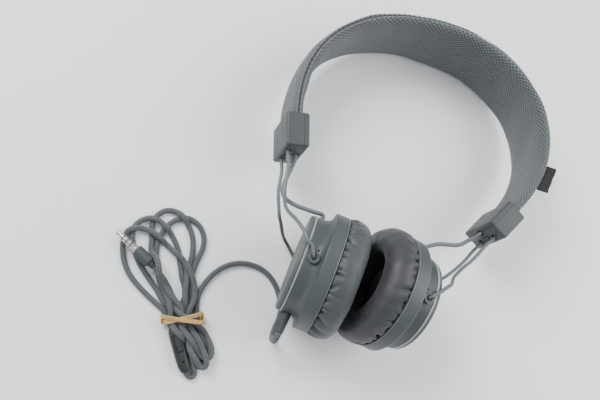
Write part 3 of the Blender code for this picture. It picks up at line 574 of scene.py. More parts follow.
def turned_data(profile, sides=160, shift=PIVOT_S):
    solid = profile[0][0] == 0 and profile[-1][0] == 0
    mesh = bpy.data.meshes.new("turned")
    bm = bmesh.new()
    verts = [bm.verts.new((r * MM, 0, (s + shift) * MM)) for r, s in profile]
    edges = [bm.edges.new(pair) for pair in zip(verts, verts[1:])]
    if not solid:
        edges.append(bm.edges.new((verts[-1], verts[0])))
    bmesh.ops.spin(bm, geom=verts + edges, cent=(0, 0, 0), axis=(0, 0, 1),
                   angle=math.tau, steps=sides, use_merge=False)
    bmesh.ops.remove_doubles(bm, verts=bm.verts, dist=1e-6)
    bmesh.ops.recalc_face_normals(bm, faces=bm.faces)
    bm.to_mesh(mesh)
    bm.free()
    return mesh


def smooth_path(route, step, sharp=0.5):
    pts = [Vector(p) for p in route]
    pts = [pts[0] * 2 - pts[1]] + pts + [pts[-1] * 2 - pts[-2]]
    fine = []
    for i in range(1, len(pts) - 2):
        p0, p1, p2, p3 = pts[i - 1 : i + 3]
        t0 = 0.0
        t1 = t0 + max((p1 - p0).length, 1e-6) ** sharp
        t2 = t1 + max((p2 - p1).length, 1e-6) ** sharp
        t3 = t2 + max((p3 - p2).length, 1e-6) ** sharp
        for k in range(32):
            t = t1 + (t2 - t1) * k / 32
            a1 = p0 * ((t1 - t) / (t1 - t0)) + p1 * ((t - t0) / (t1 - t0))
            a2 = p1 * ((t2 - t) / (t2 - t1)) + p2 * ((t - t1) / (t2 - t1))
            a3 = p2 * ((t3 - t) / (t3 - t2)) + p3 * ((t - t2) / (t3 - t2))
            b1 = a1 * ((t2 - t) / (t2 - t0)) + a2 * ((t - t0) / (t2 - t0))
            b2 = a2 * ((t3 - t) / (t3 - t1)) + a3 * ((t - t1) / (t3 - t1))
            fine.append(b1 * ((t2 - t) / (t2 - t1)) + b2 * ((t - t1) / (t2 - t1)))
    fine.append(pts[-2])
    return resample(np.array([tuple(p) for p in fine]), step)


def resample(pts, step):
    seg = np.linalg.norm(np.diff(pts, axis=0), axis=1)
    run = np.concatenate([[0], np.cumsum(seg)])
    n = max(2, int(round(run[-1] / step)))
    goal = np.linspace(0, run[-1], n + 1)
    return np.stack([np.interp(goal, run, pts[:, k]) for k in range(3)], 1)


def soften_path(pts, rounds=3):
    out = pts.copy()
    for _ in range(rounds):
        out[1:-1] = out[1:-1] * 0.5 + (out[:-2] + out[2:]) * 0.25
    return out


def tube(name, pts, radius, sides=20, attribute=None, relief=None, ends=True):
    """A round tube along pts (mm, in the row frame or a local one). relief(u, angle) adds to the radius."""
    n = len(pts)
    tan = np.gradient(pts, axis=0)
    tan /= np.linalg.norm(tan, axis=1)[:, None]
    nrm = np.zeros_like(pts)
    seed = np.array([0, 0, 1.0]) if abs(tan[0][2]) < 0.9 else np.array([1.0, 0, 0])
    nrm[0] = seed - tan[0] * seed.dot(tan[0])
    nrm[0] /= np.linalg.norm(nrm[0])
    for i in range(1, n):
        v = nrm[i - 1] - tan[i] * nrm[i - 1].dot(tan[i])
        nrm[i] = v / np.linalg.norm(v)
    bi = np.cross(tan, nrm)
    seg = np.linalg.norm(np.diff(pts, axis=0), axis=1)
    u = np.concatenate([[0], np.cumsum(seg)])
    ang = np.arange(sides) / sides * math.tau
    rad = np.full((n, 1), radius) if np.isscalar(radius) else np.asarray(radius)[:, None]
    rad = np.repeat(rad, sides, 1)
    if relief is not None:
        rad = rad + relief(u[:, None], ang[None, :])
    ring = (
        pts[:, None, :]
        + nrm[:, None, :] * (np.cos(ang)[None, :] * rad)[:, :, None]
        + bi[:, None, :] * (np.sin(ang)[None, :] * rad)[:, :, None]
    ) * MM
    vals = np.stack(np.broadcast_arrays(u[:, None], ang[None, :], np.zeros((1, 1))), -1)
    return outward(grid_mesh(name, ring, wrap_v=True, attribute=attribute, values=vals, cap=ends))


def scatter(name, base, spots):
    """Copies of base (verts, faces) at a list of 4x4 matrices, as one mesh."""
    verts, faces = base
    verts = np.asarray(verts, float)
    allv, allf = [], []
    for k, mtx in enumerate(spots):
        m = np.array(mtx)
        allv.append(verts @ m[:3, :3].T + m[:3, 3])
        off = k * len(verts)
        allf += [tuple(i + off for i in f) for f in faces]
    mesh = bpy.data.meshes.new(name)
    mesh.from_pydata(np.concatenate(allv).tolist(), [], allf)
    mesh.update()
    return mesh


def capsule(length, radius, sides=8, bulge=0.12):
    """A short rounded stitch along local X, in mm."""
    rows = []
    for t in np.linspace(-1, 1, 9):
        r = radius * math.sqrt(max(0.0, 1 - abs(t) ** 3.0)) + 1e-4
        rows.append([(t * length / 2, r * math.cos(a), r * math.sin(a) + bulge * (1 - t * t))
                     for a in np.arange(sides) / sides * math.tau])
    verts = [p for row in rows for p in row]
    faces = []
    for i in range(8):
        for j in range(sides):
            faces.append((i * sides + j, i * sides + (j + 1) % sides,
                          (i + 1) * sides + (j + 1) % sides, (i + 1) * sides + j))
    faces.append(tuple(range(sides))[::-1])
    faces.append(tuple(8 * sides + j for j in range(sides)))
    return np.array(verts) * MM, faces


# ------------------------------------------------------------------ camera
CAM_C = Vector((-131.03948, -79.82735, 381.40147))
RX, RY, RZ = -2.939435559, -0.258258745, 0.269319808
rot = Matrix.Rotation(RZ, 3, "Z") @ Matrix.Rotation(RY, 3, "Y") @ Matrix.Rotation(RX, 3, "X")
cam_rot = Matrix((rot.col[0], -rot.col[1], -rot.col[2])).transposed()
cam_data = bpy.data.cameras.new("Camera")
cam_data.sensor_width = 36.0
cam_data.lens = 43.2
cam_data.clip_start = 0.01
cam = bpy.data.objects.new("Camera", cam_data)
bpy.context.scene.collection.objects.link(cam)
cam.matrix_world = Matrix.Translation((CAM_C + Vector(SHIFT)) * MM) @ cam_rot.to_4x4()
bpy.context.scene.camera = cam


# ------------------------------------------------------------------ cord
TIE = Vector((-98.3, -55.9))
ACROSS = Vector((0.937, 0.349)).normalized()
OVER = Vector((-ACROSS.y, ACROSS.x))
SLOT = {"L1": (-8.3, 1.6), "L2": (-5.2, 1.6), "L3": (-2.1, 1.6), "L4": (0.9, 1.6), "L5": (3.9, 1.6),
        "L6": (6.9, 1.6), "U1": (-6.3, 4.5), "U3": (-0.65, 4.5), "U4": (2.4, 4.5)}


def through(slot, down):
    x, z = SLOT[slot]
    run = (4.2, 0.0, -4.2) if down else (-4.2, 0.0, 4.2)
    return [tuple(TIE + ACROSS * x + OVER * k) + (z,) for k in run]


def flat_run(z, *pts):
    return [(x, y, z) for x, y in pts]


relief_frame = (
    CUP[-1]
    @ Matrix.Translation((0, 0, (-12.9 + PIVOT_S) * MM))
    @ Matrix.Rotation(math.pi / 2, 4, "X")
)
relief_dir = (relief_frame.to_3x3() @ Vector((0, 0, 1))).normalized()
cord_start = (WORLD.inverted() @ (relief_frame @ (Vector((0, 0, 35.4)) * MM))) / MM

REMOTE_A, REMOTE_B = (-102.2, -61.5), (-89.5, -80.8)
CORD_ROUTE = [
    tuple(cord_start),
    tuple(cord_start + relief_dir * 2.0),
    tuple(cord_start + relief_dir * 3.4 + Vector((0, 0, -0.9))),
    tuple(cord_start + relief_dir * 4.6 + Vector((0.2, 0, -4.4))),
    tuple(cord_start + relief_dir * 4.0 + Vector((1.0, 0, -11.0))),
    tuple(cord_start + relief_dir * 1.2 + Vector((3.0, 0, -20.0))),
    (-50.6, -46.5, 3.6), (-49.4, -40.0, 1.9), (-50.8, -33.6, 1.5), (-54.4, -27.4, 1.5),
    (-59.2, -22.2, 1.5), (-65.6, -18.9, 1.5), (-72.2, -18.2, 1.5), (-79.0, -19.5, 1.5),
    (-85.0, -22.9, 1.5), (-89.7, -28.2, 1.75), (-93.1, -35.1, 2.0), (-94.6, -43.2, 2.6),
]
CORD_ROUTE += through("L6", True)
CORD_ROUTE += flat_run(1.6, (-88.0, -62.6), (-83.6, -64.0), (-80.4, -66.6), (-79.3, -69.6), (-80.6, -72.3),
                       (-83.6, -72.6), (-86.6, -70.6), (-89.4, -66.9))
CORD_ROUTE += through("L5", False)
CORD_ROUTE += [(-97.6, -46, 2), (-100.4, -38.5, 2.5), (-101.9, -32.7, 3), (-100.8, -26.2, 2),
               (-99.3, -18.8, 1.6), (-100.2, -12.1, 1.6), (-104.6, -6.4, 1.6), (-110.6, -4.4, 1.6),
               (-116.2, -6.2, 1.8), (-120.6, -11.6, 2.5), (-122.6, -18.5, 4.6), (-122.4, -26, 5.5),
               (-117.3, -36.6, 5.5), (-110.6, -45.7, 5.2)]
CORD_ROUTE += through("U1", True)
CORD_ROUTE += [(-98.5, -64.5, 3.5), (-93.6, -69.0, 1.8), (-88.6, -73.6, 1.6), (-84.6, -77.0, 1.6),
               (-81.6, -77.8, 1.6), (-80.8, -75.0, 1.6), (-84.6, -70.6, 1.6), (-89.6, -65.6, 1.6)]
CORD_ROUTE += through("L4", False)
CORD_ROUTE += [(-100.2, -48, 2.2), (-102.6, -38.5, 2.6), (-103.2, -28.5, 2), (-103.9, -21, 3),
               (-106.4, -13.2, 4.4), (-111.4, -7, 4.6), (-117.1, -3.4, 2.5), (-123.2, -3.4, 1.6),
               (-127.7, -8.4, 1.6), (-128.6, -14.9, 2.6), (-126.4, -19.6, 5), (-124.6, -27.5, 7.6),
               (-119.9, -35.2, 7.6), (-112.3, -42.6, 7), (-105, -49.4, 6)]
CORD_ROUTE += through("U3", True)
CORD_ROUTE += flat_run(4.5, (-94.2, -64.6), (-89.6, -71.4), (-85.0, -76.0), (-82.2, -77.6),
                       (-79.9, -76.6), (-80.2, -73.8), (-83.6, -70.0), (-87.6, -65.6))
CORD_ROUTE += through("U4", False)
CORD_ROUTE += [(-96.2, -46.7, 5.5), (-99.2, -36.4, 6.5), (-103.4, -30.1, 7.2), (-111.1, -24.8, 7.6),
               (-120.9, -20.2, 8.4), (-129.5, -16.8, 6), (-137.0, -18.2, 4.4), (-139.9, -22.2, 3.0),
               (-139.5, -28, 1.8), (-136.9, -34.8, 1.6), (-131.8, -41.5, 1.6), (-124.2, -46.7, 1.6),
               (-115, -51.6, 1.6)]
CORD_ROUTE += through("L1", True)[:2]
CORD_ROUTE += [(-103.6, -60.4, 2.4), (*REMOTE_A, 3.4), (-98, -67.9, 3.75), (-93.7, -74.4, 3.75),
               (*REMOTE_B, 3.6), (-88.0, -83.0, 2.8), (-85.9, -83.8, 1.8), (-84.0, -82.4, 1.6),
               (-84.2, -79.6, 1.6), (-87.2, -75.2, 1.6), (-91, -69.6, 1.6), (-95.2, -64.4, 1.7)]
CORD_ROUTE += through("L3", False)
CORD_ROUTE += [(-99.9, -46.0, 1.8), (-103.7, -36.2, 2), (-108, -29.9, 2.4), (-111.2, -23.2, 4),
               (-115.2, -17.5, 4.6), (-120.8, -13, 4.6), (-126.4, -10.4, 2.6), (-131.6, -11, 2),
               (-135.8, -14.6, 2.2), (-137, -20, 2.2), (-134.6, -26.4, 1.7), (-129.4, -33.8, 1.7),
               (-121.8, -40.6, 1.7), (-113.2, -47, 1.7)]
CORD_ROUTE += through("L2", True)
CORD_ROUTE += flat_run(4.4, (-96.0, -63.6), (-90.4, -66.4), (-86.0, -70.2), (-82.8, -72.8),
                       (-79.6, -72.2), (-79.0, -69.2), (-81.6, -64.6), (-85.8, -60.2))
CORD_ROUTE += [(-90.6, -57.0, 6.0), (-95.0, -55.8, 7.1), (-99.2, -54.4, 7.2), (-103.2, -51.6, 6.2),
               (-110.2, -44.6, 5.0), (-115.6, -38.8, 5.8), (-119.6, -35.7, 6.9)]

PLUG_A, PLUG_B = Vector((-120.5, -35.2, 7.4)), Vector((-144.3, -24.8, 6.4))


def relax_cord(route):
    """Beads a millimetre apart settle on each other and on the surface."""
    p = smooth_path(route, 1.0)
    home = p.copy()
    n = len(p)
    remote_mid = (np.array(REMOTE_A) + np.array(REMOTE_B)) / 2
    in_remote = (
        (np.linalg.norm(p[:, :2] - remote_mid, axis=1) < 12.0)
        & (np.abs(np.arange(n) - np.argmin(np.linalg.norm(p - np.array([*remote_mid, 3.75]), axis=1))) < 14)
    )
    fixed = np.zeros(n, bool)
    fixed[:14] = True
    fixed[-3:] = True
    fixed |= in_remote
    still, reach = [], []
    for t in np.linspace(0.05, 0.95, 14):
        a = np.array(REMOTE_A) * (1 - t) + np.array(REMOTE_B) * t
        still.append((a[0], a[1], 3.75))
        reach.append(CORD_R + 3.1)
    for t in np.linspace(0.04, 1.0, 22):
        q = PLUG_A * (1 - t) + PLUG_B * t
        still.append(tuple(q))
        reach.append(CORD_R + (3.2 if t < 0.53 else 1.8))
    still, reach = np.array(still), np.array(reach)
    idx = np.arange(n)
    near = np.abs(idx[:, None] - idx[None, :]) < 7
    skip_still = in_remote | (idx > n - 9) | (np.abs(idx - np.flatnonzero(in_remote)[0]) < 5) | (
        np.abs(idx - np.flatnonzero(in_remote)[-1]) < 5)
    gap = 2 * CORD_R + 0.06
    for step in range(260):
        late = step > 200
        diff = p[:, None, :] - p[None, :, :]
        diff[:, :, 2] += np.where(np.abs(diff[:, :, 2]) < 0.05, 0.02 * np.sign(idx[:, None] - idx[None, :]), 0)
        dist = np.linalg.norm(diff, axis=2) + 1e-6
        push = np.where(near | (dist > gap), 0.0, gap - dist)
        unit = diff / dist[:, :, None]
        unit[:, :, 2] *= 1.5
        move = (unit * push[:, :, None]).sum(1) / np.maximum((push > 0).sum(1), 1)[:, None] * 0.55
        ds = p[:, None, :] - still[None, :, :]
        dd = np.linalg.norm(ds, axis=2) + 1e-6
        ps = np.where((dd > reach[None, :]) | skip_still[:, None], 0.0, reach[None, :] - dd)
        move += (ds / dd[:, :, None] * ps[:, :, None]).sum(1) / np.maximum((ps > 0).sum(1), 1)[:, None] * 0.6
        move[:, :2] += (home[:, :2] - p[:, :2]) * (0.02 if late else 0.05)
        move[:, 2] -= 0.03
        move[fixed] = 0
        p += np.clip(move, -0.6, 0.6)
        lap = np.zeros_like(p)
        lap[1:-1] = (p[:-2] + p[2:]) / 2 - p[1:-1]
        lap2 = np.zeros_like(p)
        lap2[2:-2] = (lap[1:-3] + lap[3:-1]) / 2 - lap[2:-2]
        p[~fixed] += lap[~fixed] * 0.12 - lap2[~fixed] * 0.30
        p[~fixed, 2] = np.maximum(p[~fixed, 2], CORD_R + 0.02)
    p = soften_path(p, 3)
    p[:, 2] = np.maximum(p[:, 2], CORD_R + 0.01)
    return p, in_remote


cord_pts, in_remote = relax_cord(CORD_ROUTE)
tube_pts = soften_path(resample(cord_pts, 0.5), 2) + np.array(SHIFT)


def braid_relief(u, ang):
    along = u * math.tau / 2.3
    ab = np.cos(along + 5 * ang) * np.cos(along - 5 * ang)
    return 0.055 * ab


cord_mesh = tube("cord_braid", tube_pts, CORD_R, sides=28, attribute="braid", relief=braid_relief)
cord = add("cord_braid", cord_mesh, mat="cord", slot="cord", body="left_cup",
           replaces=("cord", "cord_hank"), smooth=180)

# ------------------------------------------------------------------ headband sleeve
SLEEVE_N, SLEEVE_M, PITCHES = 640, 224, 42
SEC_A = np.linspace(0, math.tau, 1441)


def outer_half(q):
    """Half the thickness on the outer side: the padding is thinner over the right half."""
    t = min(max((q - 0.15) / 0.45, 0.0), 1.0)
    return BAND_T / 2 - 1.35 * t * t * (3 - 2 * t)


def section(width, q):
    """The sleeve's section as a closed loop and its running length; it starts at the near edge."""
    c, s = np.cos(SEC_A), np.sin(SEC_A)
    across = width / 2 * np.sign(c) * np.abs(c) ** 0.72
    out = np.where(s > 0, outer_half(q), BAND_T / 2) * np.sign(s) * np.abs(s) ** 0.68
    pts = np.stack([out, across], 1)
    run = np.concatenate([[0], np.cumsum(np.linalg.norm(np.diff(pts, axis=0), axis=1))])
    return pts, run


def seam_offset(q):
    if q < 0:
        return 0.9 * (1 + q) ** 1.2
    return 0.9 + 0.7 * min(q / 0.6, 1.0) ** 1.3


def seam_share(q, width):
    pts, run = section(width, q)
    s = (abs(seam_offset(q)) / outer_half(q)) ** (1 / 0.68)
    return float(np.interp(math.asin(min(s, 1)), SEC_A, run) / run[-1])


BAND_LOW = -(1 - 1.6 / ARCH[-1][0])
BAND_HIGH = 1 - 1.6 / ARCH[1][0]


def sleeve_grid():
    qs = np.linspace(BAND_LOW, BAND_HIGH, SLEEVE_N)
    shares = np.arange(SLEEVE_M) / SLEEVE_M
    base = np.zeros((SLEEVE_N, SLEEVE_M, 3))
    us, dist = np.zeros(SLEEVE_N), np.zeros((SLEEVE_N, SLEEVE_M))
    for i, q in enumerate(qs):
        x, v, nx, nv, width = band_at(q)
        pts, run = section(width, q)
        out = np.interp(shares * run[-1], run, pts[:, 0])
        across = np.interp(shares * run[-1], run, pts[:, 1])
        base[i, :, 0], base[i, :, 1], base[i, :, 2] = x + nx * out, v + nv * out, across
        us[i] = q * ARCH[-1 if q < 0 else 1][0]
        d = shares - seam_share(q, width)
        d -= np.round(d)
        dist[i] = d * run[-1]
    du = np.gradient(base, axis=0)
    dv = np.roll(base, -1, 1) - np.roll(base, 1, 1)
    nrm = np.cross(du, dv)
    nrm /= np.linalg.norm(nrm, axis=2)[:, :, None]
    centre = np.array([[band_at(q)[0], band_at(q)[1], 0] for q in qs])[:, None, :]
    if ((base - centre) * nrm).sum() < 0:
        nrm = -nrm
    return qs, us, shares, base, nrm, dist


qs, us, shares, base, nrm, seam_d = sleeve_grid()
U, F = us[:, None], shares[None, :]
soft = np.zeros((SLEEVE_N, SLEEVE_M))
for k in range(14):
    wave = RNG.uniform(16, 60)
    turns = RNG.integers(0, 5)
    soft += np.sin(U * math.tau / wave + turns * math.tau * F + RNG.uniform(0, math.tau)) / 14
knit_a = np.cos(math.tau * (U + 0.25 * np.sin(U / 9)) / KNIT_U)
knit_b = np.cos(math.tau * PITCHES * F)
pattern = knit_a * knit_b
d = np.abs(seam_d)
flat = np.exp(-((d / 0.9) ** 4))
lift = soft * 0.85 + 0.10 * pattern * (1 - flat)
lift += -0.62 * np.exp(-((d / 0.42) ** 2)) + 0.16 * np.exp(-(((d - 1.15) / 0.55) ** 2))
sleeve_pts = (base + nrm * lift[:, :, None]) * MM
knit_vals = np.stack([
    np.broadcast_to(U + 0.25 * np.sin(U / 9), lift.shape),
    np.broadcast_to(F * PITCHES * KNIT_V, lift.shape),
    # third value: where the seam groove gets its painted shade
    np.exp(-((d / 0.36) ** 2)),
], -1)
sleeve_mesh = grid_mesh("knit_sleeve", sleeve_pts, wrap_v=True, attribute="knit", values=knit_vals, cap=True)
outward(sleeve_mesh)
sleeve = add("knit_sleeve", sleeve_mesh, PLANE, "knit", "knit", "headband", ("band_sleeve",), smooth=180)


def on_sleeve(q, off):
    """A place on the sleeve: off millimetres from the seam, round the section."""
    x, v, nx, nv, width = band_at(q)
    pts, run = section(width, q)
    at = (seam_share(q, width) * run[-1] + off) % run[-1]
    here = [np.interp(at + k, run, pts[:, j], period=run[-1]) for k in (-0.3, 0.3) for j in (0, 1)]
    out, across = (here[0] + here[2]) / 2, (here[1] + here[3]) / 2
    to, ta = here[2] - here[0], here[3] - here[1]
    size = math.hypot(to, ta)
    to, ta = to / size, ta / size
    pos = Vector((x + nx * out, v + nv * out, across))
    side = Vector((nx * to, nv * to, ta))
    along = Vector((nv, -nx, 0))
    normal = side.cross(along)
    mid = Vector((x, v, 0))
    if (pos - mid).dot(normal) < 0:
        normal = -normal
        side = -side
    return pos, along, side, normal


spots = []
for off, tilt in ((0.98, 0.35), (-0.98, -0.35)):
    u = BAND_LOW * ARCH[-1][0] + 1.5
    while u < BAND_HIGH * ARCH[1][0] - 1.5:
        q = u / ARCH[-1 if u < 0 else 1][0]
        pos, along, side, normal = on_sleeve(q, off)
        m = Matrix((along, normal.cross(along), normal)).transposed().to_4x4()
        m = Matrix.Translation((pos + normal * 0.16) * MM) @ m @ Matrix.Rotation(tilt + RNG.uniform(-0.1, 0.1), 4, "Z")
        spots.append(m)
        u += 1.38
stitches = scatter("seam_stitches", capsule(0.95, 0.21), spots)
add("seam_stitches", stitches, PLANE, "stitch", "seam", "headband", ("band_edge_seam",), smooth=180)

# folded tag
tx, tv, tnx, tnv, tw = band_at(0.79)
along = Vector((tnv, -tnx, 0))
outv = Vector((tnx * math.cos(0.45), tnv * math.cos(0.45), math.sin(0.45)))
tag_frame = PLANE @ Matrix.Translation(Vector((tx + tnx * 4.9, tv + tnv * 4.9, tw / 2 - 1.0)) * MM)
tag_frame = tag_frame @ Matrix((outv, along, outv.cross(along))).transposed().to_4x4()
loop = []
for t in np.linspace(0, 1, 26):
    if t < 0.42:
        loop.append((-4.0 + (6.0 * t / 0.42), -0.42))
    elif t > 0.58:
        loop.append((2.0 - 6.0 * (t - 0.58) / 0.42, 0.42))
    else:
        a = (t - 0.5) / 0.08 * math.pi / 2
        loop.append((2.0 + 0.5 * math.cos(a), 0.42 * math.sin(a)))
loop = np.array(loop)
ys = np.linspace(-8, 8, 60)
tag_pts = np.zeros((60, len(loop), 3))
for i, y in enumerate(ys):
    curl = 0.35 * math.cos(y / 5.0) + 0.10 * math.sin(y * 1.3)
    tag_pts[i, :, 0] = loop[:, 0] + 0.10 * math.sin(y * 0.9)
    tag_pts[i, :, 1] = y
    tag_pts[i, :, 2] = loop[:, 1] + curl * ((loop[:, 0] + 4) / 6) ** 2
tag = add("folded_tag", grid_mesh("folded_tag", tag_pts * MM, wrap_v=True, cap=True), tag_frame, "tag", "tag",
          "headband", ("fabric_tag",), smooth=50)
outward(tag.data)

# ------------------------------------------------------------------ end blocks
MID_Y, SPLIT_X = BLOCK_IN - BLOCK_L / 2, -3.3
BOTTOM = BLOCK_IN - BLOCK_L
for side, label in SIDE.items():
    fr = block_frame(side)
    shell = add(label + "_block", box_data((BLOCK_T, BLOCK_L, BLOCK_H), (0, MID_Y, 0)), None, "block", "block",
                "headband", (label + "_block_shell", label + "_block_cover"))
    bevel(shell, 1.35, 6)
    shell.data.transform(fr)
    if fr.to_3x3().determinant() < 0:
        shell.data.flip_normals()
    tools = [
        tool(box_data((10.4, BLOCK_L - 4.0, BLOCK_H - 4.0), (5.15 - 5.2, MID_Y, 0)), fr),
        tool(box_data((1.7, 6.0, BAND_W_END - 10.2), (0, BLOCK_IN, 0)), fr),
        tool(box_data((3.6, 6.0, 3.6), (-2.2, BOTTOM, -0.8)), fr),
        tool(box_data((0.16, BLOCK_L + 2.0, BLOCK_H + 2.0), (SPLIT_X, MID_Y, 0)), fr),
    ]
    for z in (9.0, -9.0):
        tools.append(tool(cylinder_data(1.75, -1.4, 1.0), fr @ Matrix.Translation(
            Vector((-BLOCK_T / 2, MID_Y, z)) * MM) @ Matrix.Rotation(-math.pi / 2, 4, "Y")))
    for z in (WIRE_W, -WIRE_W):
        tools.append(tool(box_data((3.4, 6.0, 2.6), (WIRE_N - 0.35, BOTTOM, z)), fr))
    # recess for the latch, and a shadow line where the cover's lip meets the shell
    tools.append(tool(box_data((3.0, 1.8, 6.2), (2.0, BOTTOM, 0.0)), fr))
    carve(shell, tools)
    latch = add(label + "_latch", box_data((2.3, 2.0, 5.4), (2.0, BOTTOM + 0.3, 0)), None, "block", "block", "headband")
    bevel(latch, 0.3, 3)
    ribs = [tool(box_data((3.0, 0.9, 0.34), (2.0, BOTTOM - 0.72, z)), Matrix.Identity(4))
            for z in (-1.8, -0.9, 0.0, 0.9, 1.8)]
    carve(latch, ribs)
    latch.data.transform(fr)

# ------------------------------------------------------------------ yokes and leads
YOKE_ROUTE = {
    -1: {
        "front": [(-71.9, 17.0, 7.0), (-71.0, 11.2, 8.6), (-69.9, 6.4, 11.8), (-68.0, 2.9, 15.4),
                  (-65.2, 0.2, 18.4), (-61.8, -3.6, 21.0), (-59.6, -6.6, 22.6), (-57.0, -10.8, 23.6)],
        "back": [(-72.6, 20.4, -6.7), (-70.9, 14.5, -6.8), (-68.6, 7.8, -7.6), (-65.6, 5.0, -12.5),
                 (-62.6, 2.8, -19.0), (-59.6, 1.6, -24.8), (-55.6, -0.8, -28.4), (-51.2, -4.8, -29.8)],
    },
    1: {
        "front": [(35.5, 12.8, 6.7), (30.3, 6.6, 8.2), (26.4, 1.9, 10.8), (23.4, -1.9, 13.6),
                  (21.6, -5.0, 16.6), (20.3, -7.6, 19.0), (17.4, -10.3, 20.9)],
        "back": [(37.4, 15.4, -6.7), (26.9, 2.4, -7.2), (23.2, 0.4, -11.0), (18.6, -0.8, -17.4),
                 (13.8, -1.8, -23.4), (9.9, -3.6, -27.6), (6.4, -6.2, -29.6)],
    },
}
LEAD_ROUTE = {
    -1: [(-69.9, 33.2, -0.6), (-70.9, 27.5, -0.4), (-71.7, 22.3, 0.0), (-71.7, 18.6, 0.0),
         (-70.0, 15.6, 0.0), (-67.4, 14.0, 0.2), (-63.2, 12.9, 0.4), (-57.8, 12.7, 0.3), (-52.6, 12.9, -0.4)],
    1: [(34.4, 25.0, -0.4), (31.6, 22.3, 0.0), (28.0, 20.2, 0.2), (22.8, 18.8, 0.4),
        (17.4, 17.4, 0.2), (12.8, 15.0, -0.6)],
}
LEADS = []
for side, label in SIDE.items():
    fr = lean_frame(side)
    inv = fr.inverted()
    bar_y = 4.2
    paths = {}
    for key, sign in (("front", 1), ("back", -1)):
        wz = sign * (1 if (fr.to_3x3() @ Vector((0, 0, 1))).z > 0 else -1)
        straight = [Vector((0, y, WIRE_W * wz)) for y in (bar_y - 2.2, -1.0, -7.5)]
        route = [inv @ to_world(p) / MM for p in YOKE_ROUTE[side][key]]
        px = UP[side] * sign
        slant = math.tan(math.radians(WIRE_LEAN[side]))
        near = [(px * (PIVOT_R + 0.15), 5.2, -5.2 * slant), (px * PIVOT_R, 2.0, -2.0 * slant),
                (px * (PIVOT_R - 0.25), 0.75, -0.75 * slant),
                (px * (PIVOT_R - 1.1), 0.12, 0.0), (px * (PIVOT_R - 2.2), 0.0, 0.0),
                (px * (PIVOT_R - 4.6), 0.0, 0.0)]
        near = [inv @ (CUP[side] @ (Vector(p) * MM)) / MM for p in near]
        paths[key] = straight[:1] + [Vector(p) for p in smooth_path(straight[-2:] + route + near[:2], 1.3)] + near[2:]
        if key == "front":
            wf = wz
    cross = [Vector((0, bar_y - 0.7, (WIRE_W - 0.1) * wf)), Vector((0, bar_y - 0.1, (WIRE_W - 0.7) * wf)),
             Vector((0, bar_y, (WIRE_W - 2.2) * wf)), Vector((0, bar_y, -(WIRE_W - 2.2) * wf)),
             Vector((0, bar_y - 0.1, -(WIRE_W - 0.7) * wf)), Vector((0, bar_y - 0.7, -(WIRE_W - 0.1) * wf))]
    whole = list(reversed(paths["front"])) + cross + paths["back"]
    pts = resample(np.array([tuple(p) for p in whole]), 0.45)
    wire = tube(label + "_yoke", soften_path(pts, 2), WIRE_R, sides=24)
    add(label + "_yoke", wire, fr, "wire", "wire", label + "_yoke", (label + "_yoke_wire",), smooth=60)

    blk = block_frame(side)
    inside = [inv @ (blk @ (Vector(p) * MM)) / MM
              for p in ((-2.2, -8.0, -0.8), (-2.2, -11.0, -0.8), (-2.2, -15.6, -0.8), (-2.0, -18.2, -0.7))]
    route = [inv @ to_world(p) / MM for p in LEAD_ROUTE[side]]
    entry = [inv @ (CUP[side] @ (Vector((0, y, -13.0 + PIVOT_S)) * MM)) / MM for y in (28.4, 26.6, 22.4)]
    pts = smooth_path(inside + route + entry, 0.5)
    lead = add(label + "_lead", tube(label + "_lead", soften_path(pts, 4), 1.15, sides=24), fr, "lead", "lead",
               None, (label + "_audio_lead",), smooth=60)
    a = CUP[side] @ (Vector((0, 38.0, -13.0 + PIVOT_S)) * MM)
    b = CUP[side] @ (Vector((0, 26.4, -13.0 + PIVOT_S)) * MM)
    LEADS.append((lead, label, tuple(a), tuple(b)))

# ------------------------------------------------------------------ ear cups
SHELL = [
    (30.8, -0.75), (30.8, -6.75), (30.65, -7.0), (30.3, -7.15), (29.4, -7.3), (28.2, -7.65), (27.2, -8.2),
    (26.4, -9.0), (25.85, -9.9), (25.55, -10.9), (25.4, -12.2), (25.4, -15.5), (25.1, -15.8), (23.4, -15.8),
    (23.4, -9.0), (23.9, -7.6), (24.9, -6.5), (26.9, -5.8), (28.9, -5.4), (28.9, -3.0),
    (29.3, -3.0), (29.3, -0.75),
]
# LIP and STEP are thin rim beads; the lip on both cups and the right cup's step are painted lighter as an edge
# highlight
LIP = [(29.4, -0.7), (30.75, -0.7), (30.9, -0.56), (30.9, -0.36), (30.75, -0.22), (29.4, -0.22)]
STEP = [(30.2, -7.22), (30.62, -7.22), (30.78, -7.1), (30.78, -6.92), (30.5, -6.8), (30.2, -6.8)]
# next ring: a near-black ring in the seam between rim and cushion, a painted shadow
GAP_SHADE_RING = [(29.2, -0.2), (30.05, -0.2), (30.05, 0.6), (29.2, 0.6)]
TRIM = [(25.62, -15.8), (25.62, -16.85), (23.2, -16.85), (23.2, -15.8)]
CAP = [(0, -19.1), (23.8, -19.1), (24.6, -19.0), (25.05, -18.6), (25.25, -18.1), (25.25, -17.05), (24.8, -16.86), (0, -16.86)]
CLOTH = [(0, -0.55), (15.5, -0.55), (15.5, -0.1), (13.5, 0.35), (9, 0.75), (4, 0.95), (0, 1.0)]
CUSHION = np.array([
    (30.1, 0.25), (31.2, 2.4), (31.55, 5.2), (31.0, 8.3), (29.4, 10.9), (26.8, 12.7),
    (23.3, 13.3), (19.9, 12.7), (17.1, 10.7), (15.8, 7.6), (15.5, 4.0), (15.9, 0.25),
])
facing = (Vector(CUPS[-1][1]).normalized() - Vector(CUPS[1][1]).normalized()).normalized()
middle = (Vector(CUPS[-1][0]) + Vector(CUPS[1][0])) / 2


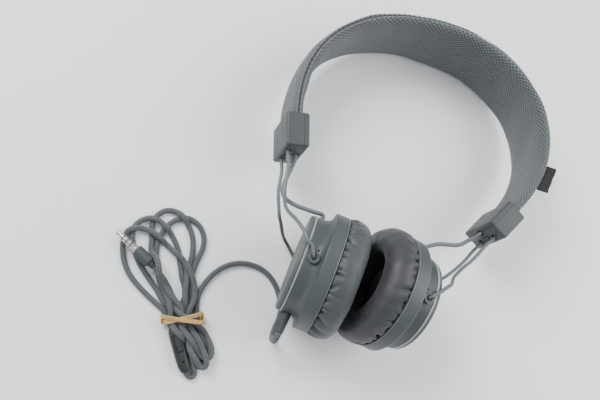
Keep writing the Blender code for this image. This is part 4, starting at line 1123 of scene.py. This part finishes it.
def fold_field(rng, arc, theta, count, seam_at, sign, long_by, deep_by):
    """Depth (mm) of the creases that start at a sewn edge, over arc (mm) and theta, and a mask of painted shade along
    their bottoms.
    """
    total = np.zeros((len(arc), len(theta)))
    dark = np.zeros_like(total)
    at = np.sort((np.arange(count) + rng.uniform(-0.36, 0.36, count)) / count * math.tau)
    for t0 in at:
        wide = math.radians(rng.uniform(0.8, 2.2))
        deep = rng.uniform(0.35, 1.0) * deep_by
        long = rng.uniform(2.4, 7.0) * long_by
        lean = rng.normal(0, 0.012)
        away = (arc - seam_at) * sign
        centre = t0 + lean * away + 0.004 * np.sin(away * 1.1 + t0 * 7)
        dt = (theta[None, :] - centre[:, None] + math.pi) % math.tau - math.pi
        spread = wide * (1 + away / 5)[:, None]
        fall = np.exp(-((away / long) ** 2)) * (away > -0.01)
        shape = np.exp(-((dt / spread) ** 2))
        total += deep * shape * fall[:, None]
        # painted shade along the bottom of each crease
        dark += np.exp(-((dt / (spread * 0.42)) ** 2)) * fall[:, None] * min(1.0, deep / 0.9)
        # the cloth swells a little on each side of a crease
        total -= 0.22 * deep * np.exp(-(((np.abs(dt) - 2.6 * spread) / (1.6 * spread)) ** 2)) * fall[:, None]
    return total, dark


def cushion_mesh(side):
    rng = np.random.default_rng(31 + side)
    closed = np.concatenate([CUSHION[-1:], CUSHION, CUSHION[:1]])
    prof = smooth_path([(r, s, 0) for r, s in CUSHION], 0.38)[:, :2]
    arc = np.concatenate([[0], np.cumsum(np.linalg.norm(np.diff(prof, axis=0), axis=1))])
    theta = np.arange(640) / 640 * math.tau
    tan = np.gradient(prof, axis=0)
    tan /= np.linalg.norm(tan, axis=1)[:, None]
    nr, ns = tan[:, 1], -tan[:, 0]
    if nr[5] < 0:
        nr, ns = -nr, -ns
    depth, dark = fold_field(rng, arc, theta, 38, 0.0, 1, 1.0, 1.35)
    inner, dark2 = fold_field(rng, arc, theta, 26, arc[-1], -1, 0.9, 1.0)
    more, dark3 = fold_field(rng, arc, theta, 30, 0.0, 1, 0.45, 0.8)
    depth += inner + more
    dark += dark2 + dark3 * 0.7
    swell = np.zeros_like(depth)
    for _ in range(16):
        k = rng.integers(3, 26)
        swell += np.sin(k * theta[None, :] + rng.uniform(0, math.tau)
                        + rng.uniform(-0.05, 0.05) * arc[:, None]) * rng.uniform(0.3, 1.0) / (3 + 0.35 * k)
    swell *= np.exp(-((arc[:, None] - 11) / 13) ** 2) * 0.30
    # long shallow dimples that cross the crown
    for _ in range(11):
        t0, a0 = rng.uniform(0, math.tau), rng.uniform(7, 20)
        dt = (theta - t0 + math.pi) % math.tau - math.pi
        slant = rng.uniform(-0.5, 0.5)
        x = dt[None, :] * 30
        y = arc[:, None] - a0 - slant * x
        swell -= 0.22 * np.exp(-((y / 0.9) ** 2) - (x / rng.uniform(3, 7)) ** 2)
    move = swell - depth
    r = prof[:, 0][:, None] + nr[:, None] * move
    s = prof[:, 1][:, None] + ns[:, None] * move
    pts = np.stack([r * np.cos(theta), r * np.sin(theta), np.broadcast_to(s, r.shape) + PIVOT_S], -1)
    # to the world, where the other cushion presses it flat
    m = np.array(CUP[side])
    world = (pts * MM) @ m[:3, :3].T + m[:3, 3]
    zaxis = np.array(facing * (-side))
    mid = np.array(WORLD @ (middle * MM))
    reach = (world - mid) @ zaxis / MM
    limit = -1.45
    k = 0.55
    soft_reach = limit - k * np.log1p(np.exp(np.clip((limit - reach) / k, -40, 40)))
    world += zaxis[None, None, :] * ((soft_reach - reach) * MM)[:, :, None]
    # the crease mask below carries the painted crease shade to the leatherette
    vals = np.repeat(np.clip(dark, 0, 1)[:, :, None], 3, 2)
    return outward(grid_mesh(label + "_pad", world, wrap_u=True, wrap_v=True, attribute="crease", values=vals))


for side, label in SIDE.items():
    fr = CUP[side]
    body = label + "_cup"
    shell = add(label + "_cup_body", turned_data(smooth_profile(SHELL, 0.32, True), 180), fr, "cup", "cup", body,
                (label + "_cup_shell",))
    tools = []
    for sign in (1, -1):
        turn = Matrix.Rotation(sign * math.pi / 2, 4, "Y")
        tools.append(tool(cylinder_data(1.05, 21.0, 30.0), fr @ turn))
    tools.append(tool(cylinder_data(1.4, 21.5, 29.0), fr @ Matrix.Translation((0, 0, (-13.0 + PIVOT_S) * MM))
                      @ Matrix.Rotation(-math.pi / 2, 4, "X")))
    # small drain hole above the front pivot
    spot = Matrix.Rotation(math.radians(9.5) * UP[side], 4, "Z")
    tools.append(tool(cylinder_data(0.5, 24.0, 28.0, 24), fr @ spot @ Matrix.Translation((0, 0, 1.0 * MM))
                      @ Matrix.Rotation(UP[side] * math.pi / 2, 4, "Y")))
    carve(shell, tools, 50)
    for k, sign in (("front", UP[side]), ("back", -UP[side])):
        turn = Matrix.Rotation(sign * math.pi / 2, 4, "Y")
        top = 27.5 if k == "front" else 27.35
        ring = smooth_profile([(1.1, 25.0), (2.9, 25.0), (2.9, top), (1.75, top), (1.75, top - 0.75), (1.1, top - 0.75)], 0.22, True)
        boss = add(label + "_boss_" + k, turned_data(ring, 64, 0.0), None, "cup", "cup", body,
                   (label + "_pivot_boss_" + k,))
        boss.data.transform(fr @ turn)
        lean = Matrix.Rotation(-sign * math.radians(WIRE_LEAN[side]), 4, "Z")
        carve(boss, [tool(box_data((2.3, 6.0, 6.0), (0, 3.0, 28.3)), fr @ turn @ lean)])
    # rim beads in the lighter lip colour: painted edge highlight; the left cup's step keeps the cup colour
    add(label + "_rim_lip", turned_data(smooth_profile(LIP, 0.12, True), 180), fr, "lip", "cup", body)
    add(label + "_rim_step", turned_data(smooth_profile(STEP, 0.1, True), 180), fr, "lip" if side == 1 else "cup", "cup", body)
    # near-black ring in the seam: painted shadow
    add(label + "_seam_gap", turned_data(GAP_SHADE_RING, 120), fr, "dark", "inner", body)
    # the left cup's trim uses the darker copy: painted shade
    add(label + "_trim", turned_data(smooth_profile(TRIM, 0.14, True), 180), fr,
        "trim" if side == 1 else "trim_left", "trim", body, (label + "_trim_ring",))
    add(label + "_cap", turned_data(smooth_profile(CAP, 0.25), 180), fr, "cap", "cap", body, (label + "_cup_cap",))
    add(label + "_grille_cloth", turned_data(CLOTH, 96), fr, "cloth", "cloth", body, (label + "_speaker_cloth",))
    # each pad takes its own copy; the right copy is painted darker as shade
    pad = add(label + "_pad", cushion_mesh(side), None, "cushion_" + label, "cushion", body, (label + "_cushion",), smooth=180)

# ------------------------------------------------------------------ strain relief
prof = [(0, 25.0), (2.5, 25.0), (2.5, 27.4), (2.42, 27.9)]
for k in range(10):
    y = 28.3 + k * 0.74
    r = 2.38 - k * 0.052
    prof += [(r, y), (r, y + 0.44), (r - 0.2, y + 0.52), (r - 0.2, y + 0.68)]
prof += [(1.86, 35.7), (1.7, 36.05), (0, 36.05)]
add("cord_relief", turned_data(smooth_profile(prof, 0.08), 64, 0.0), relief_frame, "rubber", "rubber", "left_cup",
    ("strain_relief",))


# ------------------------------------------------------------------ remote
def flat_frame(x, y, z, heading):
    return WORLD @ Matrix.Translation(Vector((x, y, z)) * MM) @ Matrix.Rotation(heading - math.pi / 2, 4, "Z")


heading = math.atan2(REMOTE_B[1] - REMOTE_A[1], REMOTE_B[0] - REMOTE_A[0])
remote_frame = flat_frame((REMOTE_A[0] + REMOTE_B[0]) / 2, (REMOTE_A[1] + REMOTE_B[1]) / 2, 3.75, heading)


def pill(name, half, power, low, high, sides=72, rows=72):
    """A rounded bar along local Y, kept between two heights."""
    a, b, c = half
    ang = np.arange(sides) / sides * math.tau
    t = np.linspace(-1, 1, rows)
    y = b * np.sign(t) * (1 - (1 - np.abs(t)) ** 2.2)
    k = np.maximum(1 - np.abs(y / b) ** 5.0, 0) ** (1 / power)
    px = np.sign(np.cos(ang)) * np.abs(np.cos(ang)) ** (2 / power)
    pz = np.sign(np.sin(ang)) * np.abs(np.sin(ang)) ** (2 / power)
    pts = np.zeros((rows, sides, 3))
    pts[:, :, 0] = a * (k[:, None] * px[None, :])
    pts[:, :, 1] = y[:, None]
    pts[:, :, 2] = c * (k[:, None] * pz[None, :])
    mesh = grid_mesh(name, pts * MM, wrap_v=True)
    bm = bmesh.new()
    bm.from_mesh(mesh)
    bmesh.ops.remove_doubles(bm, verts=bm.verts, dist=2e-5)
    for co, no in (((0, 0, low * MM), (0, 0, -1)), ((0, 0, high * MM), (0, 0, 1))):
        bmesh.ops.bisect_plane(bm, geom=bm.verts[:] + bm.edges[:] + bm.faces[:], plane_co=co, plane_no=no,
                               clear_outer=True)
    bmesh.ops.holes_fill(bm, edges=bm.edges, sides=0)
    bmesh.ops.recalc_face_normals(bm, faces=bm.faces)
    bm.to_mesh(mesh)
    bm.free()
    return mesh


add("remote_back", pill("remote_back", (3.3, 12.2, 3.3), 2.9, -3.3, -0.12), remote_frame, "remote", "remote",
    "left_cup", ("remote_lower_shell",), smooth=50)
front = add("remote_front", pill("remote_front", (3.3, 12.2, 3.2), 2.9, 0.12, 3.2), remote_frame, "remote", "remote",
            "left_cup", ("remote_upper_shell",), smooth=50)
carve(front, [
    tool(box_data((3.4, 8.8, 4.0), (0, -3.0, 3.5)), remote_frame),
    tool(cylinder_data(0.55, 1.6, 4.0, 32), remote_frame @ Matrix.Translation((0, 6.4 * MM, 0))),
], 50)
button = add("remote_key", box_data((2.9, 8.3, 1.3), (0, -3.0, 2.7)), None, "remote", "remote", "remote_button",
             ("remote_button",))
bevel(button, 0.45, 5)
button.data.transform(remote_frame)

# ------------------------------------------------------------------ plug
out_dir = math.atan2(-29.3 + 35.2, -132.1 + 120.5)
plug_frame = (
    WORLD @ Matrix.Translation(Vector((-132.1, -29.3, 7.0)) * MM) @ Matrix.Rotation(out_dir, 4, "Z")
    @ Matrix.Rotation(math.pi / 2 + 0.05, 4, "Y")
)
body = [(0, -13.0), (1.75, -13.0)]
for k in range(4):
    y = -12.8 + k * 0.75
    body += [(1.8 + 0.12 * k, y), (1.85 + 0.12 * k, y + 0.45), (1.62 + 0.12 * k, y + 0.5), (1.62 + 0.12 * k, y + 0.68)]
body += [(2.9, -9.4), (3.2, -8.8), (3.2, -0.9), (2.95, -0.25), (0, -0.25)]
add("plug_grip", turned_data(smooth_profile(body, 0.12), 72, 0.0), plug_frame, "rubber", "rubber", "left_cup",
    ("plug_body",))
pin = [(0, -0.2), (2.3, -0.2), (2.3, 0.75), (1.75, 0.95), (1.75, 10.4), (1.55, 11.0), (1.2, 11.5),
       (1.6, 12.4), (1.5, 13.0), (0.7, 14.0), (0, 14.2)]
add("plug_contact", turned_data(smooth_profile(pin, 0.15), 64, 0.0), plug_frame, "gold", "gold", "left_cup",
    ("plug_pin",))
for k, h in enumerate((3.4, 6.1, 8.6)):
    add("plug_ring_%d" % k, turned_data([(1.6, h), (1.785, h), (1.785, h + 0.5), (1.6, h + 0.5)], 64, 0.0),
        plug_frame, "ring", "rubber", "left_cup")

# ------------------------------------------------------------------ rubber band
local = np.stack([
    (cord_pts[:, :2] - np.array(TIE)) @ np.array(ACROSS),
    (cord_pts[:, :2] - np.array(TIE)) @ np.array(OVER),
    cord_pts[:, 2],
], 1)
held = local[(np.abs(local[:, 1]) < 3.2) & (np.abs(local[:, 0]) < 16)]
lo, hi, top = held[:, 0].min() - CORD_R, held[:, 0].max() + CORD_R, held[:, 2].max() + CORD_R
tie_frame = Matrix.Translation(Vector((TIE.x + SHIFT[0], TIE.y + SHIFT[1], 0)) * MM) @ Matrix.Rotation(
    math.atan2(ACROSS.y, ACROSS.x), 4, "Z")


def strap(name, turn, extra, wide, seed):
    """One turn of a flat rubber band round the bundle."""
    rng = np.random.default_rng(seed)
    a = np.arange(220) / 220 * math.tau
    c, s = np.cos(a), np.sin(a)
    half, mid = (hi - lo) / 2 + 0.5 + extra, (hi + lo) / 2
    zh = (top + 0.5 + extra - 0.47) / 2
    x = mid + half * np.sign(c) * np.abs(c) ** 0.42
    z = 0.47 + zh + zh * np.sign(s) * np.abs(s) ** 0.50
    # between the strands it sags a little
    z -= np.where(s > 0, 0.28 * (1 - np.cos((x - mid) * math.tau / 3.05)) * 0.5 * (np.abs(c) < 0.93), 0)
    drift = math.tan(turn) * (x - lo - (hi - lo) * 0.36) * np.where(s > 0, 1, -0.4) + 0.25 * np.sin(2 * a + seed)
    path = np.stack([x, drift, z], 1)
    for _ in range(4):
        path = path * 0.5 + (np.roll(path, 1, 0) + np.roll(path, -1, 0)) * 0.25
    path[:, 2] = np.maximum(path[:, 2], 0.47)
    tan = np.roll(path, -1, 0) - np.roll(path, 1, 0)
    tan /= np.linalg.norm(tan, axis=1)[:, None]
    centre = np.array([mid, 0, 0.47 + zh])
    radial = path - centre
    radial[:, 1] = 0
    nrm_ = radial - tan * (radial * tan).sum(1)[:, None]
    nrm_ /= np.linalg.norm(nrm_, axis=1)[:, None]
    side_ = np.cross(tan, nrm_)
    ring = []
    for t in np.arange(16) / 16 * math.tau:
        ct, st = math.cos(t), math.sin(t)
        w_ = wide / 2 * math.copysign(abs(ct) ** 0.45, ct)
        h_ = 0.42 * math.copysign(abs(st) ** 0.6, st)
        ring.append(path + side_ * w_ * (1 + 0.04 * np.sin(3 * a + seed))[:, None] + nrm_ * h_)
    pts = np.stack(ring, 1) * MM
    pts[:, :, 2] = np.maximum(pts[:, :, 2], 0.00003)
    mesh = outward(grid_mesh(name, pts, wrap_u=True, wrap_v=True))
    return mesh


bands = [
    add("tie_strap_a", strap("tie_strap_a", math.radians(8), 0.0, 2.3, 1), tie_frame, "band", "band", "left_cup",
        ("rubber_band",), smooth=60),
    add("tie_strap_b", strap("tie_strap_b", math.radians(-12), 0.82, 2.3, 2), tie_frame, "band", "band", "left_cup",
        smooth=60),
]

# ------------------------------------------------------------------ CAD parts that stay
KEEP = {"band_spring": "spring"}
for side, label in SIDE.items():
    KEEP[label + "_baffle"] = "inner"
    KEEP[label + "_driver"] = "inner"
    KEEP[label + "_yoke_clip"] = "slider"
    for k in ("upper", "lower"):
        KEEP[label + "_screw_" + k] = "screw"
for node, mat in KEEP.items():
    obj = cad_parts[node]
    obj.data.materials.clear()
    obj.data.materials.append(MAT[mat])

# ------------------------------------------------------------------ what moves with what
for obj, slot, body, nodes in PENDING:
    if nodes:
        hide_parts(*nodes)
    if body:
        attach(obj, body)
for lead, label, a, b in LEADS:
    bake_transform(lead)

# ------------------------------------------------------------------ floor and light
floor = bpy.data.meshes.new("floor")
floor.from_pydata([(-3, -3, -0.00002), (3, -3, -0.00002), (3, 3, -0.00002), (-3, 3, -0.00002)], [], [(0, 1, 2, 3)])
floor_obj = bpy.data.objects.new("floor", floor)
bpy.context.scene.collection.objects.link(floor_obj)
fm = Nodes("floor")
tone = fm.noise(0.25, 3.0)
fm.set(Base_Color=fm.mix(fm.ramp(tone, 0.3, 0.7), FLOOR_A, FLOOR_B), Roughness=0.42)
floor.materials.append(fm.mat)

world = bpy.context.scene.world or bpy.data.worlds.new("World")
bpy.context.scene.world = world
world.use_nodes = True
world.node_tree.nodes["Background"].inputs[0].default_value = (0.93, 0.96, 1.0, 1.0)
world.node_tree.nodes["Background"].inputs[1].default_value = WORLD_LIGHT


def lamp(name, where, towards, size, power, colour=(1, 1, 1)):
    data = bpy.data.lights.new(name, "AREA")
    data.size = size
    data.energy = power
    data.color = colour
    obj = bpy.data.objects.new(name, data)
    bpy.context.scene.collection.objects.link(obj)
    obj.location = where
    obj.rotation_euler = (Vector(towards) - Vector(where)).to_track_quat("-Z", "Y").to_euler()
    return obj


for name, where, size, power in LAMPS:
    lamp(name, where, (0, 0, 0.02), size, power)
